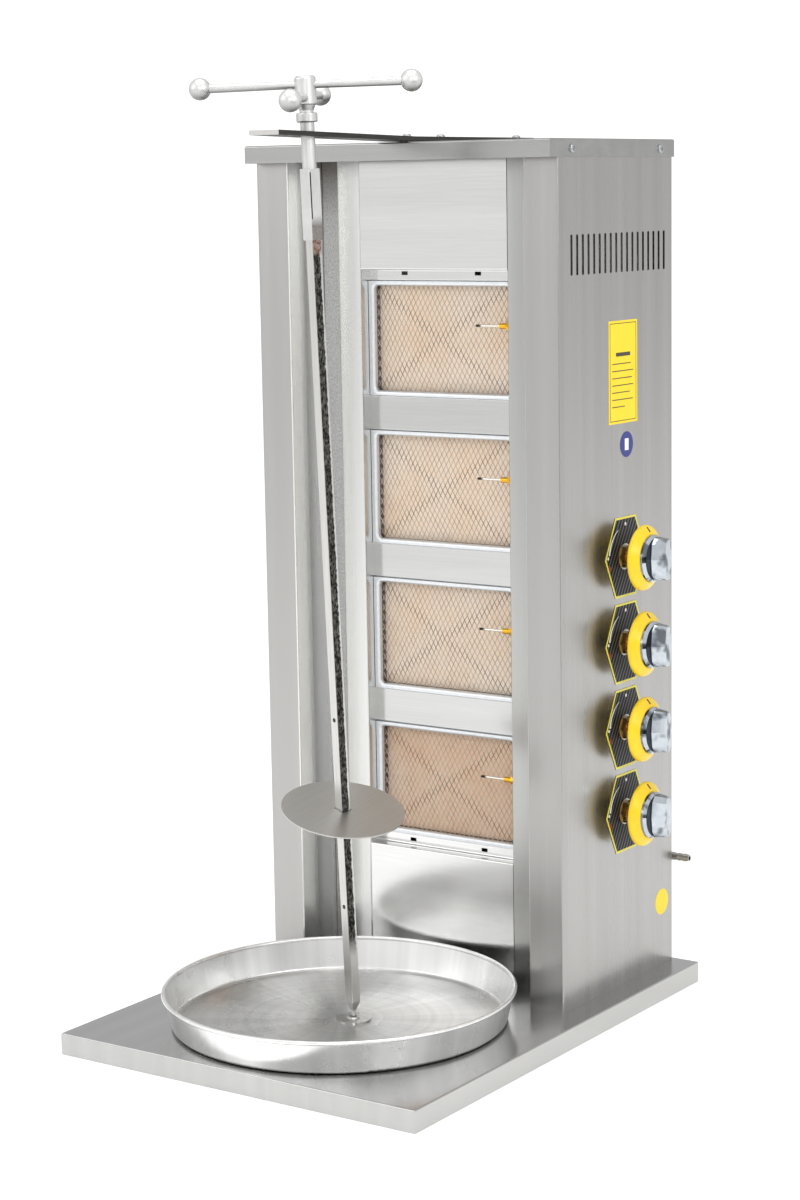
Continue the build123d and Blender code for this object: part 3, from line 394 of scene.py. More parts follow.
diamond_width = 0.0070
diamond_height = 0.0125
mesh_bulge = 0.0066
strand_width = (0.0003, 0.0009, 0.0)
strand_thickness = 0.0006
weld_distance = 0.0002


def apply_modifiers(piece):
    """Applies every modifier of a piece in order."""
    bpy.context.view_layer.objects.active = piece
    for modifier in list(piece.modifiers):
        bpy.ops.object.modifier_apply(modifier=modifier.name)


def settle(piece, name, body, material):
    """Puts a finished piece's place into its mesh and rides it on a body."""
    bpy.ops.object.select_all(action="DESELECT")
    piece.select_set(True)
    bpy.context.view_layer.objects.active = piece
    bpy.ops.object.transform_apply(location=True, rotation=True, scale=True)
    piece.name = name
    piece.data.materials.clear()
    piece.data.materials.append(material)
    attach(piece, body)


rim_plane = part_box("mesh_guard_1")[1].y - strand_thickness
bpy.ops.object.select_all(action="DESELECT")
bpy.ops.mesh.primitive_circle_add(vertices=4, radius=0.5, fill_type="NOTHING",
                                  location=(0, 0, 0), rotation=(math.pi / 2, 0, 0))
guard = bpy.context.object
guard.scale = (diamond_width, diamond_height, 1.0)
bpy.ops.object.transform_apply(location=False, rotation=True, scale=True)
across = int(guard_half_width * 2 / diamond_width) + 2
upward = int(guard_half_height * 2 / diamond_height) + 2
for count, step in ((across, (diamond_width, 0, 0)), (upward, (0, 0, diamond_height))):
    repeat = guard.modifiers.new("repeat", "ARRAY")
    repeat.count = count
    repeat.use_relative_offset = False
    repeat.use_constant_offset = True
    repeat.constant_offset_displace = step
    repeat.use_merge_vertices = True
    repeat.merge_threshold = weld_distance
apply_modifiers(guard)
guard.location = (-(across - 1) * diamond_width / 2, 0, -(upward - 1) * diamond_height / 2)
bpy.ops.object.transform_apply(location=True, rotation=True, scale=True)
bpy.ops.object.mode_set(mode="EDIT")
bpy.ops.mesh.select_all(action="SELECT")
bpy.ops.mesh.remove_doubles(threshold=weld_distance)
for spot, normal in (
    ((guard_half_width, 0, 0), (1, 0, 0)), ((-guard_half_width, 0, 0), (-1, 0, 0)),
    ((0, 0, guard_half_height), (0, 0, 1)), ((0, 0, -guard_half_height), (0, 0, -1)),
):
    bpy.ops.mesh.select_all(action="SELECT")
    bpy.ops.mesh.bisect(plane_co=spot, plane_no=normal, clear_outer=True)
bpy.ops.object.mode_set(mode="OBJECT")
# Each strand stands on edge: a flat ribbon about 1 mm by 0.6 mm.
crease = guard.data
for vertex in crease.vertices:
    slope = min(1 - abs(vertex.co.x) / guard_half_width, 1 - abs(vertex.co.z) / guard_half_height)
    vertex.co.y = -mesh_bulge * max(0.0, slope)
bpy.ops.object.mode_set(mode="EDIT")
bpy.ops.mesh.select_all(action="SELECT")
bpy.ops.mesh.extrude_edges_move(TRANSFORM_OT_translate={"value": strand_width})
bpy.ops.object.mode_set(mode="OBJECT")
strand = guard.modifiers.new("strand", "SOLIDIFY")
strand.thickness = strand_thickness
strand.offset = 0.0
apply_modifiers(guard)
for number in burner_numbers:
    low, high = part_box(f"mesh_guard_{number}")
    each = guard.copy()
    each.data = guard.data.copy()
    bpy.context.scene.collection.objects.link(each)
    each.location = (0.0, rim_plane, (low.z + high.z) / 2)
    settle(each, f"expanded_guard_{number}", "frame", mesh_steel)
    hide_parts(f"mesh_guard_{number}")
bpy.data.objects.remove(guard)

# ------------------------------
# Flame probes.  A polished steel rod with a heat-darkened tip in a yellow
# passivated brass ferrule.
# ------------------------------
burnt_end = 0.0605
bright_end = 0.0645
ferrule_end = 0.089
probe_metal, tree, shader = new_material("probe_steel_and_brass", {"Metallic": 1.0, "Roughness": 0.25})
place = add_node(tree, "ShaderNodeTexCoord").outputs["Object"]
parts = add_node(tree, "ShaderNodeSeparateXYZ", links={0: place})
is_tip = add_node(tree, "ShaderNodeMapRange",
                  {"From Min": bright_end, "From Max": burnt_end}, {0: parts.outputs["X"]})
is_ferrule = add_node(tree, "ShaderNodeMath", {"operation": "GREATER_THAN", 1: ferrule_end},
                      {0: parts.outputs["X"]})
rod = add_node(tree, "ShaderNodeMixRGB",
               {"Color1": to_linear("#e4dfd6"), "Color2": to_linear("#3a2c22")},
               {"Fac": is_tip.outputs[0]})
both = add_node(tree, "ShaderNodeMixRGB", {"Color2": to_linear("#e0a934")},
                {"Fac": is_ferrule.outputs[0], "Color1": rod.outputs[0]})
tree.links.new(both.outputs[0], shader.inputs["Base Color"])
finish_nodes(probe_metal, "flame_probes")

# ------------------------------
# Gas train.  Machined brass valves, tubes and spindles, a plated steel rail
# and a nickel-plated hose tail, all inside the tower or behind it.
# ------------------------------
brass = mottled("machined_brass", "#9a6f35", "#d9b36a", 180.0, 4.0,
                {"Metallic": 1.0, "Roughness": 0.27})
plated = mottled("nickel_plated_brass", "#8d8a84", "#c7c4bd", 300.0, 3.0,
                 {"Metallic": 1.0, "Roughness": 0.2})
finish_nodes(brass, "valve_bodies", "valve_nuts", "gas_tubes",
             *[f"valve_spindle_{n}" for n in burner_numbers])
finish_nodes(plated, "gas_rail", "hose_tail")

# ------------------------------
# Dial plates.  Printed aluminium foil, black with fine slanting stripes, a
# yellow border, a dot at off, a swelling arc, and a small red flame.
# ------------------------------
dial_black, tree, shader = new_material(
    "black_printed_foil", {"Roughness": 0.45, "Specular IOR Level": 0.2})
place = add_node(tree, "ShaderNodeTexCoord").outputs["Object"]
# The real stripes are 3 mm apart; 6 mm shows at this distance.
slant = add_node(tree, "ShaderNodeMapping", {"Rotation": (math.radians(32.0), 0, 0)}, {0: place})
stripes = add_node(tree, "ShaderNodeTexWave",
                   {"wave_type": "BANDS", "bands_direction": "Y", "Scale": 50.0,
                    "Distortion": 0.6, "Detail": 2.0}, {0: slant.outputs[0]})
thin = add_node(tree, "ShaderNodeMapRange", {"From Min": 0.6, "From Max": 1.0},
                {0: stripes.outputs[1]})
mixed = add_node(tree, "ShaderNodeMixRGB",
                 {"Color1": to_linear("#080808"), "Color2": to_linear("#6e6e70")},
                 {"Fac": thin.outputs[0]})
tree.links.new(mixed.outputs[0], shader.inputs["Base Color"])
finish_nodes(dial_black, "dial_plates")
print_yellow = mottled("yellow_print", "#e6da3c", "#efe65e", 500.0, 2.0, {"Roughness": 0.35})
print_white = new_material(
    "white_print", {"Base Color": to_linear("#f3f3f0"), "Roughness": 0.4})[0]
print_red = new_material(
    "red_print", {"Base Color": to_linear("#8e2a12"), "Roughness": 0.4})[0]

dial_low, dial_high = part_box("dial_plates")
knob_low, knob_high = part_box("knob_skirt_1")
valve_y = (knob_low.y + knob_high.y) / 2
valve_heights = [sum(corner.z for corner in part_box(f"knob_skirt_{n}")) / 2 for n in burner_numbers]
print_plane = dial_high.x
ink_height = 0.00012
half_plate_width = (dial_high.y - dial_low.y) / 2
half_plate_height = 0.0485
half_plate_edge = 0.0245
border_width = 0.0026


def copies_at_valves(piece, name, material, plane):
    """Copies one piece made about the origin to each of the four valves."""
    for number, height in zip(burner_numbers, valve_heights):
        each = piece.copy()
        each.data = piece.data.copy()
        bpy.context.scene.collection.objects.link(each)
        each.location = (plane, valve_y, height)
        settle(each, f"{name}_{number}", "frame", material)
    bpy.data.objects.remove(piece)


def thicken_print():
    """Gives the flat shape in hand the thickness of a layer of ink."""
    bpy.ops.object.mode_set(mode="EDIT")
    bpy.ops.mesh.select_all(action="SELECT")
    bpy.ops.mesh.extrude_region_move(TRANSFORM_OT_translate={"value": (ink_height, 0, 0)})
    bpy.ops.mesh.select_all(action="SELECT")
    bpy.ops.mesh.normals_make_consistent(inside=False)
    bpy.ops.object.mode_set(mode="OBJECT")


def flat_ring(corners, radius, fill):
    """A ring of points about the origin, facing right, to be shaped into print."""
    bpy.ops.object.select_all(action="DESELECT")
    bpy.ops.mesh.primitive_circle_add(vertices=corners, radius=radius, fill_type=fill,
                                      rotation=(math.pi / 2, 0, math.pi / 2))
    bpy.ops.object.transform_apply(location=True, rotation=True, scale=True)
    return bpy.context.object


# Border: a six-sided line just inside the plate's edge.
border = flat_ring(6, 1.0, "NGON")
for vertex in border.data.vertices:
    # The six corners lie 30 and 90 degrees from level; they are set out anew
    # as two points at mid height and four at the ends.
    corner = round((math.degrees(math.atan2(vertex.co.z, vertex.co.y)) - 30) / 60) % 6
    turn = corner * math.pi / 3
    end = math.copysign(1.0, math.cos(turn))
    vertex.co.y = end * (half_plate_width if corner in (0, 3) else half_plate_edge)
    vertex.co.z = 0.0 if corner in (0, 3) else math.copysign(half_plate_height, math.sin(turn))
bpy.ops.object.mode_set(mode="EDIT")
bpy.ops.mesh.select_all(action="SELECT")
bpy.ops.mesh.inset(thickness=border_width)
bpy.ops.mesh.delete(type="FACE")
thicken_print()
copies_at_valves(border, "dial_border", print_yellow, print_plane)

# Arc: it starts thin near eleven o'clock and swells to nine o'clock.
arc_radius = 0.0375
arc_thin = 0.0006
arc_swell = 0.0026
arc = flat_ring(96, arc_radius, "NOTHING")
bpy.ops.object.mode_set(mode="EDIT")
bpy.ops.mesh.select_all(action="SELECT")
bpy.ops.mesh.extrude_edges_move()
bpy.ops.transform.resize(value=(1.0, 1.075, 1.075))
arc_start = math.radians(118.0)
arc_end = math.radians(172.0)


def pick_faces(piece, test):
    """Selects the faces whose middles pass a test, and stays in edit mode."""
    bpy.ops.object.mode_set(mode="EDIT")
    bpy.ops.mesh.select_all(action="DESELECT")
    bpy.ops.mesh.select_mode(type="FACE")
    bpy.ops.object.mode_set(mode="OBJECT")
    for face in piece.data.polygons:
        face.select = test(face.center)
    bpy.ops.object.mode_set(mode="EDIT")


def outside_arc(middle):
    """True where a face of the ring isn't in the printed arc."""
    turn = math.atan2(middle.z, -middle.y)
    turn = math.pi - turn if turn > 0 else 9.0
    return not arc_start < turn < arc_end


pick_faces(arc, outside_arc)
bpy.ops.mesh.delete(type="FACE")
bpy.ops.object.mode_set(mode="OBJECT")
for vertex in arc.data.vertices:
    reach = math.hypot(vertex.co.y, vertex.co.z)
    turn = math.atan2(vertex.co.z, vertex.co.y)
    share = (turn - arc_start) / (arc_end - arc_start)
    if reach > arc_radius * 1.04:
        scale = (arc_radius + arc_thin + arc_swell * max(0.0, share)) / reach
        vertex.co.y *= scale
        vertex.co.z *= scale
thicken_print()
copies_at_valves(arc, "dial_arc", print_white, print_plane)

# Dots at off and at nine o'clock, and the red flame below.
for name, spot, size, material in (
    ("dial_dot_off", (0.0, 0.0395), (0.0021, 0.0021), print_white),
    ("dial_dot_low", (-0.0415, 0.002), (0.0019, 0.0019), print_white),
    ("dial_flame", (-0.0375, -0.0105), (0.0026, 0.0046), print_red),
):
    dot = flat_ring(20, 1.0, "NGON")
    for vertex in dot.data.vertices:
        lean = 0.0
        if name == "dial_flame" and vertex.co.z > 0:
            vertex.co.y *= 1 - 0.85 * vertex.co.z
            lean = -0.0012 * vertex.co.z
        vertex.co.y = vertex.co.y * size[0] + spot[0] + lean
        vertex.co.z = vertex.co.z * size[1] + spot[1]
    thicken_print()
    copies_at_valves(dot, name, material, print_plane)

# ------------------------------
# Knobs.  A yellow moulded ABS skirt with a black pointer mark, and a bright
# chromed grip with flat flanks.
# ------------------------------
yellow_abs = mottled("yellow_moulded_abs", "#f2c60a", "#fbd91c", 60.0, 3.0,
                     {"Roughness": 0.3, "IOR": 1.53}, (0.05, 0.0004))
chrome, tree, shader = new_material("bright_chrome_plate", {"Metallic": 1.0})
place = add_node(tree, "ShaderNodeTexCoord").outputs["Object"]
wipe = add_node(tree, "ShaderNodeTexNoise", {"Scale": 120.0, "Detail": 3.0}, {0: place})
mixed = add_node(tree, "ShaderNodeMixRGB",
                 {"Color1": to_linear("#aab1b8"), "Color2": to_linear("#cfd5da")},
                 {"Fac": wipe.outputs[0]})
# Dark soft-edged bands are painted reflection of dark surroundings, and the dark line at the root of the
# grip is painted shadow.
root_shadow_x = 0.2573
root_shadow_half_width = 0.0007
bands = add_node(tree, "ShaderNodeMapping", {"Scale": (25.0, 95.0, 40.0)}, {0: place})
thin = add_node(tree, "ShaderNodeTexNoise", {"Scale": 1.0, "Detail": 2.0}, {0: bands.outputs[0]})
painted_reflection_bands = add_node(tree, "ShaderNodeMapRange", {"From Min": 0.52, "From Max": 0.62, "To Max": 0.75},
                {0: thin.outputs[0]})
parts = add_node(tree, "ShaderNodeSeparateXYZ", links={0: place})
root_shadow_line = add_node(tree, "ShaderNodeMath",
                  {"operation": "COMPARE", 1: root_shadow_x, 2: root_shadow_half_width},
                  {0: parts.outputs["X"]})
darker = add_node(tree, "ShaderNodeMath", {"operation": "MAXIMUM"},
                  {0: painted_reflection_bands.outputs[0], 1: root_shadow_line.outputs[0]})
chrome_with_painted_dark = add_node(tree, "ShaderNodeMixRGB", {"Color2": to_linear("#3c434b")},
                 {"Fac": darker.outputs[0], "Color1": mixed.outputs[0]})
tree.links.new(chrome_with_painted_dark.outputs[0], shader.inputs["Base Color"])
gloss = add_node(tree, "ShaderNodeMapRange", {"To Min": 0.04, "To Max": 0.1}, {0: wipe.outputs[0]})
tree.links.new(gloss.outputs[0], shader.inputs["Roughness"])
for number in burner_numbers:
    finish_nodes(yellow_abs, f"knob_skirt_{number}")
    finish_nodes(chrome, f"knob_cap_{number}")

# Pointer mark: a short black line let into the top of each skirt.
pointer_ink = new_material(
    "black_pointer_paint", {"Base Color": to_linear("#161512"), "Roughness": 0.4})[0]
mark_size = (0.0072, 0.0024, 0.0006)
mark_slope = math.atan2(0.010, 0.008)
mark_depth = 0.0040
mark_radius = 0.0345
for number, height in zip(burner_numbers, valve_heights):
    skirt_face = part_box(f"knob_skirt_{number}")[1].x
    bpy.ops.object.select_all(action="DESELECT")
    bpy.ops.mesh.primitive_cube_add(size=1.0, scale=mark_size,
                                    location=(skirt_face - mark_depth, valve_y, height + mark_radius),
                                    rotation=(0, mark_slope, 0))
    mark = bpy.context.object
    bpy.ops.object.mode_set(mode="EDIT")
    bpy.ops.mesh.select_all(action="SELECT")
    bpy.ops.mesh.bevel(offset=0.0002, segments=2)
    bpy.ops.object.mode_set(mode="OBJECT")
    settle(mark, f"pointer_mark_{number}", f"knob_{number}", pointer_ink)

# ------------------------------
# Labels.  Printed polyester stickers on the right side: a tall yellow notice
# with a thin frame and plain bars, a round blue one and a round yellow one.
# ------------------------------
blue_label_height = 0.6901
sticker, tree, shader = new_material("printed_polyester_label", {"Roughness": 0.35})
place = add_node(tree, "ShaderNodeTexCoord").outputs["Object"]
parts = add_node(tree, "ShaderNodeSeparateXYZ", links={0: place})
is_blue = add_node(tree, "ShaderNodeMath",
                   {"operation": "COMPARE", 1: blue_label_height, 2: 0.016},
                   {0: parts.outputs["Z"]})
mottle = add_node(tree, "ShaderNodeTexNoise", {"Scale": 90.0}, {0: place})
yellow = add_node(tree, "ShaderNodeMixRGB",
                  {"Color1": to_linear("#f0d000"), "Color2": to_linear("#fadc08")},
                  {"Fac": mottle.outputs[0]})
both = add_node(tree, "ShaderNodeMixRGB", {"Color2": to_linear("#232b7c")},
                {"Fac": is_blue.outputs[0], "Color1": yellow.outputs[0]})
tree.links.new(both.outputs[0], shader.inputs["Base Color"])
finish_nodes(sticker, "side_labels")

label_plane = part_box("side_labels")[1].x
label_ink = new_material(
    "dark_label_ink", {"Base Color": to_linear("#3a3620"), "Roughness": 0.45})[0]
notice_middle = Vector((label_plane, 0.196, 0.7771))
notice_half = (0.0307, 0.0577)


def printed_bar(name, middle, size, material):
    """A flat printed bar, as thick as its ink, on a label of the right side."""
    bpy.ops.object.select_all(action="DESELECT")
    bpy.ops.mesh.primitive_plane_add(size=1.0, location=middle, rotation=(math.pi / 2, 0, math.pi / 2))
    bar = bpy.context.object
    bar.scale = (size[0], size[1], 1.0)
    bpy.ops.object.transform_apply(location=True, rotation=True, scale=True)
    thicken_print()
    settle(bar, name, "frame", material)


line = 0.0008
bar_lengths = (0.044, 0.050, 0.047, 0.050, 0.042, 0.049, 0.030)
bar_height = 0.0011
bar_pitch = 0.0085
first_bar = 0.010
column_width = 0.052
for name, shift, size in (
    ("notice_line_top", (0, notice_half[1]), (2 * notice_half[0], line)),
    ("notice_line_bottom", (0, -notice_half[1]), (2 * notice_half[0], line)),
    ("notice_line_front", (-notice_half[0], 0), (line, 2 * notice_half[1])),
    ("notice_line_rear", (notice_half[0], 0), (line, 2 * notice_half[1])),
):
    printed_bar(name, notice_middle + Vector((0, shift[0], shift[1])), size, label_ink)
for row, length in enumerate(bar_lengths):
    offset = Vector((0, (length - column_width) / 2, first_bar - row * bar_pitch))
    printed_bar(f"notice_bar_{row + 1}", notice_middle + offset, (length, bar_height), label_ink)
printed_bar("notice_heading", notice_middle + Vector((0, 0, 0.021)), (0.034, 0.0045), label_ink)
printed_bar("blue_label_mark", Vector((label_plane, 0.204, blue_label_height)), (0.009, 0.014),
            print_white)

# ------------------------------
# Drip pan.  Spun aluminium: the spinning tool leaves fine rings, and washing
# and carving leave dull patches on the floor.
# ------------------------------
pan_low, pan_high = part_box("drip_pan")
pan_middle = (pan_low + pan_high) / 2
spun, tree, shader = new_material("spun_aluminium", {"Metallic": 1.0, "Anisotropic": 0.7})
place = add_node(tree, "ShaderNodeTexCoord").outputs["Object"]
centred = add_node(tree, "ShaderNodeVectorMath",
                   {"operation": "SUBTRACT", 1: (pan_middle.x, pan_middle.y, 0.0)}, {0: place})
parts = add_node(tree, "ShaderNodeSeparateXYZ", links={0: centred.outputs[0]})
flat = add_node(tree, "ShaderNodeCombineXYZ", links={"X": parts.outputs["X"], "Y": parts.outputs["Y"]})
radius = add_node(tree, "ShaderNodeVectorMath", {"operation": "LENGTH"}, {0: flat.outputs[0]})
ring_place = add_node(tree, "ShaderNodeCombineXYZ",
                      links={"X": radius.outputs["Value"], "Z": parts.outputs["Z"]})
rings = add_node(tree, "ShaderNodeTexNoise", {"Scale": 240.0, "Detail": 2.0},
                 {0: ring_place.outputs[0]})
wide_rings = add_node(tree, "ShaderNodeTexNoise", {"Scale": 70.0, "Detail": 2.0},
                      {0: ring_place.outputs[0]})
patches = add_node(tree, "ShaderNodeTexNoise", {"Scale": 16.0, "Detail": 5.0}, {0: place})
tone = add_node(tree, "ShaderNodeMath", {"operation": "MULTIPLY_ADD", 1: 0.5},
                {0: rings.outputs[0], 2: wide_rings.outputs[0]})
spread = add_node(tree, "ShaderNodeMapRange", {"From Min": 0.4, "From Max": 1.1}, {0: tone.outputs[0]})
mixed = add_node(tree, "ShaderNodeMixRGB",
                 {"Color1": to_linear("#bdbdbc"), "Color2": to_linear("#d6d6d5")},
                 {"Fac": spread.outputs[0]})
# The wall is painted paler than the floor: painted light.
floor_depth = 0.0035
wall = add_node(tree, "ShaderNodeMath", {"operation": "GREATER_THAN", 1: pan_low.z + floor_depth},
                {0: parts.outputs["Z"]})
wall_painted_light = add_node(tree, "ShaderNodeMixRGB", {"Color2": to_linear("#f4f4f3")},
                  {"Fac": wall.outputs[0], "Color1": mixed.outputs[0]})
# Streaks like the spokes of a wheel are painted highlights and painted shade, standing in for the lamps'
# stretched reflections in the spun metal.
angle = add_node(tree, "ShaderNodeMath", {"operation": "ARCTAN2"},
                 {0: parts.outputs["Y"], 1: parts.outputs["X"]})
streak_place = add_node(tree, "ShaderNodeCombineXYZ", links={"X": angle.outputs[0]})
painted_streaks = add_node(tree, "ShaderNodeTexNoise", {"Scale": 5.0, "Detail": 3.0, "Roughness": 0.6},
                  {0: streak_place.outputs[0]})
painted_streak_tone = add_node(tree, "ShaderNodeMapRange",
                      {"From Min": 0.35, "From Max": 0.65, "To Min": 0.87, "To Max": 1.06},
                      {0: painted_streaks.outputs[0]})
streaked = add_node(tree, "ShaderNodeVectorMath", {"operation": "SCALE"},
                    {0: wall_painted_light.outputs[0], "Scale": painted_streak_tone.outputs[0]})
tree.links.new(streaked.outputs[0], shader.inputs["Base Color"])
gloss = add_node(tree, "ShaderNodeMapRange",
                 {"To Min": 0.20, "To Max": 0.36},
                 {0: patches.outputs[0]})
tree.links.new(gloss.outputs[0], shader.inputs["Roughness"])
direction = add_node(tree, "ShaderNodeTangent", {"direction_type": "RADIAL", "axis": "Z"})
tree.links.new(direction.outputs[0], shader.inputs["Tangent"])
finish_nodes(spun, "drip_pan")

turned_steel = mottled("turned_steel_washer", "#a5a4a1", "#d8d7d4", 260.0, 4.0,
                       {"Metallic": 1.0, "Roughness": 0.22})
finish_nodes(turned_steel, "pivot_washer")

# ------------------------------
# Top arm.  A length of hot-rolled flat bar, wire-brushed dark, with a pale
# sawn end, held down on the cap by three bolts through spacers.
# ------------------------------
flat_bar, tree, shader = new_material("brushed_flat_bar", {"Metallic": 1.0, "Roughness": 0.38})
place = add_node(tree, "ShaderNodeTexCoord").outputs["Object"]
stretch = add_node(tree, "ShaderNodeMapping", {"Scale": (500.0, 20.0, 500.0)}, {0: place})
mill = add_node(tree, "ShaderNodeTexNoise", {"Scale": 1.0, "Detail": 5.0}, {0: stretch.outputs[0]})
parts = add_node(tree, "ShaderNodeSeparateXYZ", links={0: place})
arm_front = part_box("top_arm")[0].y
sawn = add_node(tree, "ShaderNodeMath", {"operation": "LESS_THAN", 1: arm_front + 0.0006},
                {0: parts.outputs["Y"]})
mixed = add_node(tree, "ShaderNodeMixRGB",
                 {"Color1": to_linear("#1c1b1b"), "Color2": to_linear("#5f5e5c")},
                 {"Fac": mill.outputs[0]})
cut = add_node(tree, "ShaderNodeMixRGB", {"Color2": to_linear("#c4c2bf")},
               {"Fac": sawn.outputs[0], "Color1": mixed.outputs[0]})
tree.links.new(cut.outputs[0], shader.inputs["Base Color"])
finish_nodes(flat_bar, "top_arm")

# ------------------------------
# Skewer and cross pin.  Drawn square bar, bright on the faces that are
# scraped clean and burnt black and mottled on the face towards the fire.
# ------------------------------
turn_joint = next(j for j in frame["joints"] if j["name"] == "spit_turn")
spit_axis = Vector(turn_joint["axis"]).normalized()
foot = Vector(turn_joint["pos_m"])
level_x = (Vector((1, 0, 0)) - spit_axis * spit_axis.x).normalized()
bar_twist = math.radians(-13.0)
fire_face = 0.0060
scraped_end = 0.075
rusty_end = 0.899
bar_x = Matrix.Rotation(bar_twist, 3, spit_axis) @ level_x
bar_y = spit_axis.cross(bar_x)
bar_turn = Matrix((bar_x, bar_y, spit_axis)).transposed().to_euler("XYZ")
drawn_bar, tree, shader = new_material("drawn_steel_bar", {"Metallic": 0.95})
place = add_node(tree, "ShaderNodeTexCoord").outputs["Object"]
local = add_node(tree, "ShaderNodeMapping",
                 {"vector_type": "TEXTURE", "Location": foot, "Rotation": bar_turn}, {0: place})
parts = add_node(tree, "ShaderNodeSeparateXYZ", links={0: local.outputs[0]})
stretch = add_node(tree, "ShaderNodeMapping", {"Scale": (600.0, 600.0, 25.0)}, {0: local.outputs[0]})
draw_line = add_node(tree, "ShaderNodeTexNoise", {"Scale": 1.0, "Detail": 4.0}, {0: stretch.outputs[0]})
char = add_node(tree, "ShaderNodeMapping", {"Scale": (420.0, 420.0, 240.0)}, {0: local.outputs[0]})
mottle = add_node(tree, "ShaderNodeTexNoise", {"Scale": 1.0, "Detail": 6.0, "Roughness": 0.7},
                  {0: char.outputs[0]})
fire_side = add_node(tree, "ShaderNodeMapRange",
                     {"From Min": 0.0054, "From Max": fire_face}, {0: parts.outputs["X"]})
low_end = add_node(tree, "ShaderNodeMapRange", {"From Min": scraped_end, "From Max": 0.10},
                   {0: parts.outputs["Z"]})
rust_end = add_node(tree, "ShaderNodeMapRange", {"From Min": 0.893, "From Max": rusty_end},
                    {0: parts.outputs["Z"]})
ragged = add_node(tree, "ShaderNodeMath", {"operation": "MULTIPLY_ADD", 1: 0.006},
                  {0: mottle.outputs[0], 2: parts.outputs["Y"]})
near_edge = add_node(tree, "ShaderNodeMapRange", {"From Min": 0.0068, "From Max": 0.0060},
                     {0: ragged.outputs[0]})
band = add_node(tree, "ShaderNodeMath", {"operation": "MULTIPLY"},
                {0: fire_side.outputs[0], 1: near_edge.outputs[0]})
burnt = add_node(tree, "ShaderNodeMath", {"operation": "MULTIPLY"},
                 {0: band.outputs[0], 1: low_end.outputs[0]})
bright = add_node(tree, "ShaderNodeMixRGB",
                  {"Color1": to_linear("#b9b8b5"), "Color2": to_linear("#dcdbd8")},
                  {"Fac": draw_line.outputs[0]})
spots = add_node(tree, "ShaderNodeMapRange", {"From Min": 0.44, "From Max": 0.74},
                 {0: mottle.outputs[0]})
black = add_node(tree, "ShaderNodeMixRGB",
                 {"Color1": to_linear("#1d1c1a"), "Color2": to_linear("#918f89")},
                 {"Fac": spots.outputs[0]})
both = add_node(tree, "ShaderNodeMixRGB",
                links={"Fac": burnt.outputs[0], "Color1": bright.outputs[0], "Color2": black.outputs[0]})
rusty = add_node(tree, "ShaderNodeMath", {"operation": "MULTIPLY"},
                 {0: fire_side.outputs[0], 1: rust_end.outputs[0]})
rust_colour = add_node(tree, "ShaderNodeMixRGB",
                       {"Color1": to_linear("#7a5c4e"), "Color2": to_linear("#d6c4ba")},
                       {"Fac": spots.outputs[0]})
stained = add_node(tree, "ShaderNodeMixRGB",
                   links={"Fac": rusty.outputs[0], "Color1": both.outputs[0],
                          "Color2": rust_colour.outputs[0]})
tree.links.new(stained.outputs[0], shader.inputs["Base Color"])
gloss = add_node(tree, "ShaderNodeMapRange", {"To Min": 0.28, "To Max": 0.6}, {0: burnt.outputs[0]})
tree.links.new(gloss.outputs[0], shader.inputs["Roughness"])
bump = add_node(tree, "ShaderNodeBump", {"Strength": 0.3, "Distance": 0.0003},
                {"Height": mottle.outputs[0]})
tree.links.new(bump.outputs[0], shader.inputs["Normal"])
finish_nodes(drawn_bar, "skewer", "disc_pin")

# ------------------------------
# Meat disc.  A thin steel disc, sheared and linished, dull from washing, that
# slides on the bar and rests on its cross pin.
# ------------------------------
disc_steel, tree, shader = new_material("linished_steel_disc", {"Metallic": 1.0, "Roughness": 0.4})
place = add_node(tree, "ShaderNodeTexCoord").outputs["Object"]
stretch = add_node(tree, "ShaderNodeMapping",
                   {"Rotation": (0, 0, math.radians(25.0)), "Scale": (700.0, 12.0, 12.0)}, {0: place})
line_noise = add_node(tree, "ShaderNodeTexNoise", {"Scale": 1.0, "Detail": 5.0}, {0: stretch.outputs[0]})
mixed = add_node(tree, "ShaderNodeMixRGB",
                 {"Color1": to_linear("#b5b3b0"), "Color2": to_linear("#c9c7c3")},
                 {"Fac": line_noise.outputs[0]})
tree.links.new(mixed.outputs[0], shader.inputs["Base Color"])
bump = add_node(tree, "ShaderNodeBump", {"Strength": 0.2, "Distance": 0.0002},
                {"Height": line_noise.outputs[0]})
tree.links.new(bump.outputs[0], shader.inputs["Normal"])
finish_nodes(disc_steel, "meat_disc")

# ------------------------------
# Handle.  Sand-cast aluminium, tumbled to a matte silver, with a fine pitted
# skin; the socket below the arm is drawn square tube, welded on.
# ------------------------------
cast_silver, tree, shader = new_material("tumbled_cast_aluminium", {"Metallic": 0.9, "Roughness": 0.4})
place = add_node(tree, "ShaderNodeTexCoord").outputs["Object"]
pits = add_node(tree, "ShaderNodeTexNoise", {"Scale": 900.0, "Detail": 4.0, "Roughness": 0.6},
                {0: place})
wear = add_node(tree, "ShaderNodeTexNoise", {"Scale": 60.0, "Detail": 3.0}, {0: place})
mixed = add_node(tree, "ShaderNodeMixRGB",
                 {"Color1": to_linear("#cfcfce"), "Color2": to_linear("#ebebe9")},
                 {"Fac": wear.outputs[0]})
# Undersides are painted greyer: painted shade.
normal = add_node(tree, "ShaderNodeNewGeometry")
facing = add_node(tree, "ShaderNodeSeparateXYZ", links={0: normal.outputs["Normal"]})
painted_underside_shade = add_node(tree, "ShaderNodeMapRange", {"From Min": 0.1, "From Max": -0.8, "To Max": 0.85},
                 {0: facing.outputs["Z"]})
underside_painted_shade = add_node(tree, "ShaderNodeMixRGB", {"Color2": to_linear("#6f6f6d")},
                  {"Fac": painted_underside_shade.outputs[0], "Color1": mixed.outputs[0]})
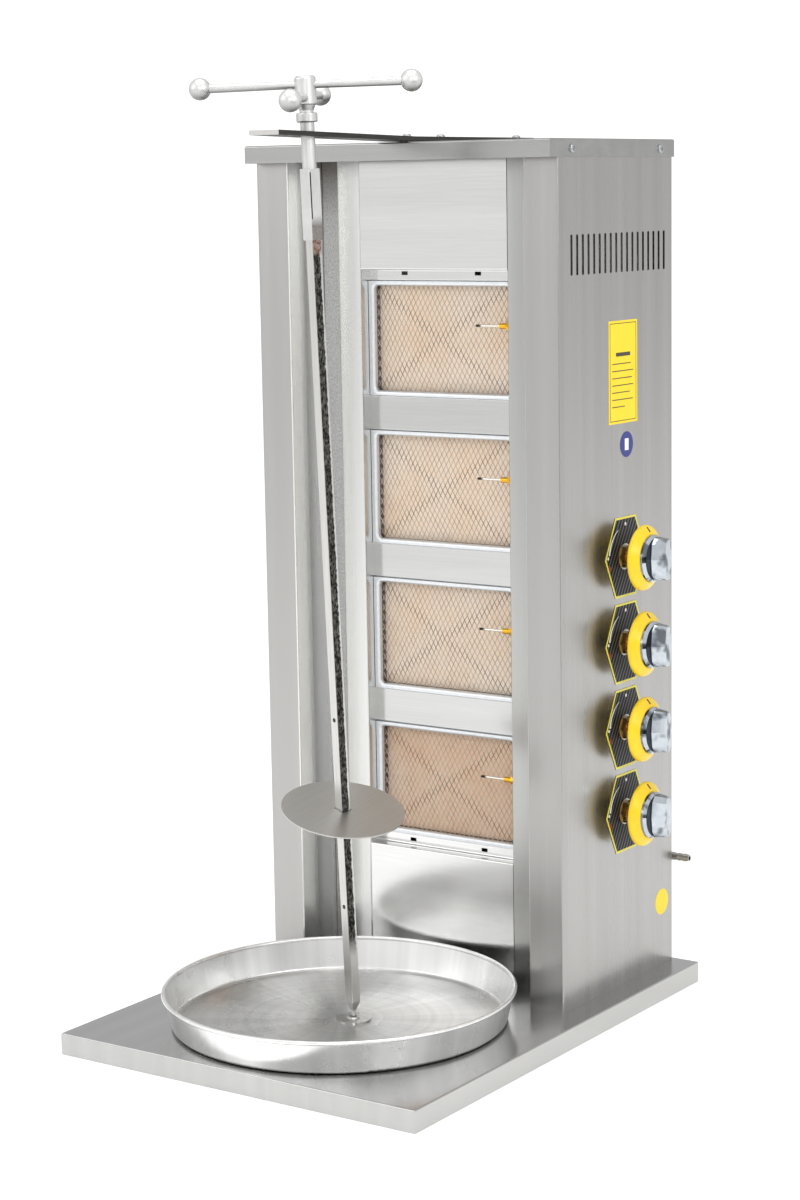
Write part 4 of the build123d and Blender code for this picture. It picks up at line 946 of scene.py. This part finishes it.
# The tube's open seam is a dark line down its front right corner, and the
# weld that holds the bar is scaled grey and brown.
socket_face = 0.0079
seam_y = -0.0066
tube_middle = 0.960
tube_half_length = 0.026
local = add_node(tree, "ShaderNodeMapping",
                 {"vector_type": "TEXTURE", "Location": foot, "Rotation": bar_turn}, {0: place})
parts = add_node(tree, "ShaderNodeSeparateXYZ", links={0: local.outputs[0]})
right_face = add_node(tree, "ShaderNodeMath", {"operation": "GREATER_THAN", 1: socket_face},
                      {0: parts.outputs["X"]})
at_corner = add_node(tree, "ShaderNodeMath", {"operation": "COMPARE", 1: seam_y, 2: 0.0009},
                     {0: parts.outputs["Y"]})
on_tube = add_node(tree, "ShaderNodeMath",
                   {"operation": "COMPARE", 1: tube_middle, 2: tube_half_length},
                   {0: parts.outputs["Z"]})
line_there = add_node(tree, "ShaderNodeMath", {"operation": "MULTIPLY"},
                      {0: right_face.outputs[0], 1: at_corner.outputs[0]})
seam = add_node(tree, "ShaderNodeMath", {"operation": "MULTIPLY"},
                {0: line_there.outputs[0], 1: on_tube.outputs[0]})
seamed = add_node(tree, "ShaderNodeMixRGB", {"Color2": to_linear("#2a2928")},
                  {"Fac": seam.outputs[0], "Color1": underside_painted_shade.outputs[0]})
scale_spots = add_node(tree, "ShaderNodeTexNoise", {"Scale": 330.0, "Detail": 5.0, "Roughness": 0.7},
                       {0: place})
weld_zone = add_node(tree, "ShaderNodeMapRange",
                     {"From Min": 0.938, "From Max": 0.926}, {0: parts.outputs["Z"]})
weld_face = add_node(tree, "ShaderNodeMath", {"operation": "MULTIPLY"},
                     {0: weld_zone.outputs[0], 1: right_face.outputs[0]})
weld_colour = add_node(tree, "ShaderNodeMixRGB",
                       {"Color1": to_linear("#4c4845"), "Color2": to_linear("#b8b2ac")},
                       {"Fac": scale_spots.outputs[0]})
welded = add_node(tree, "ShaderNodeMixRGB",
                  links={"Fac": weld_face.outputs[0], "Color1": seamed.outputs[0],
                         "Color2": weld_colour.outputs[0]})
tree.links.new(welded.outputs[0], shader.inputs["Base Color"])
bump = add_node(tree, "ShaderNodeBump", {"Strength": 0.15, "Distance": 0.0003},
                {"Height": pits.outputs[0]})
tree.links.new(bump.outputs[0], shader.inputs["Normal"])
finish_nodes(cast_silver, "handle_hub", "handle_bars")
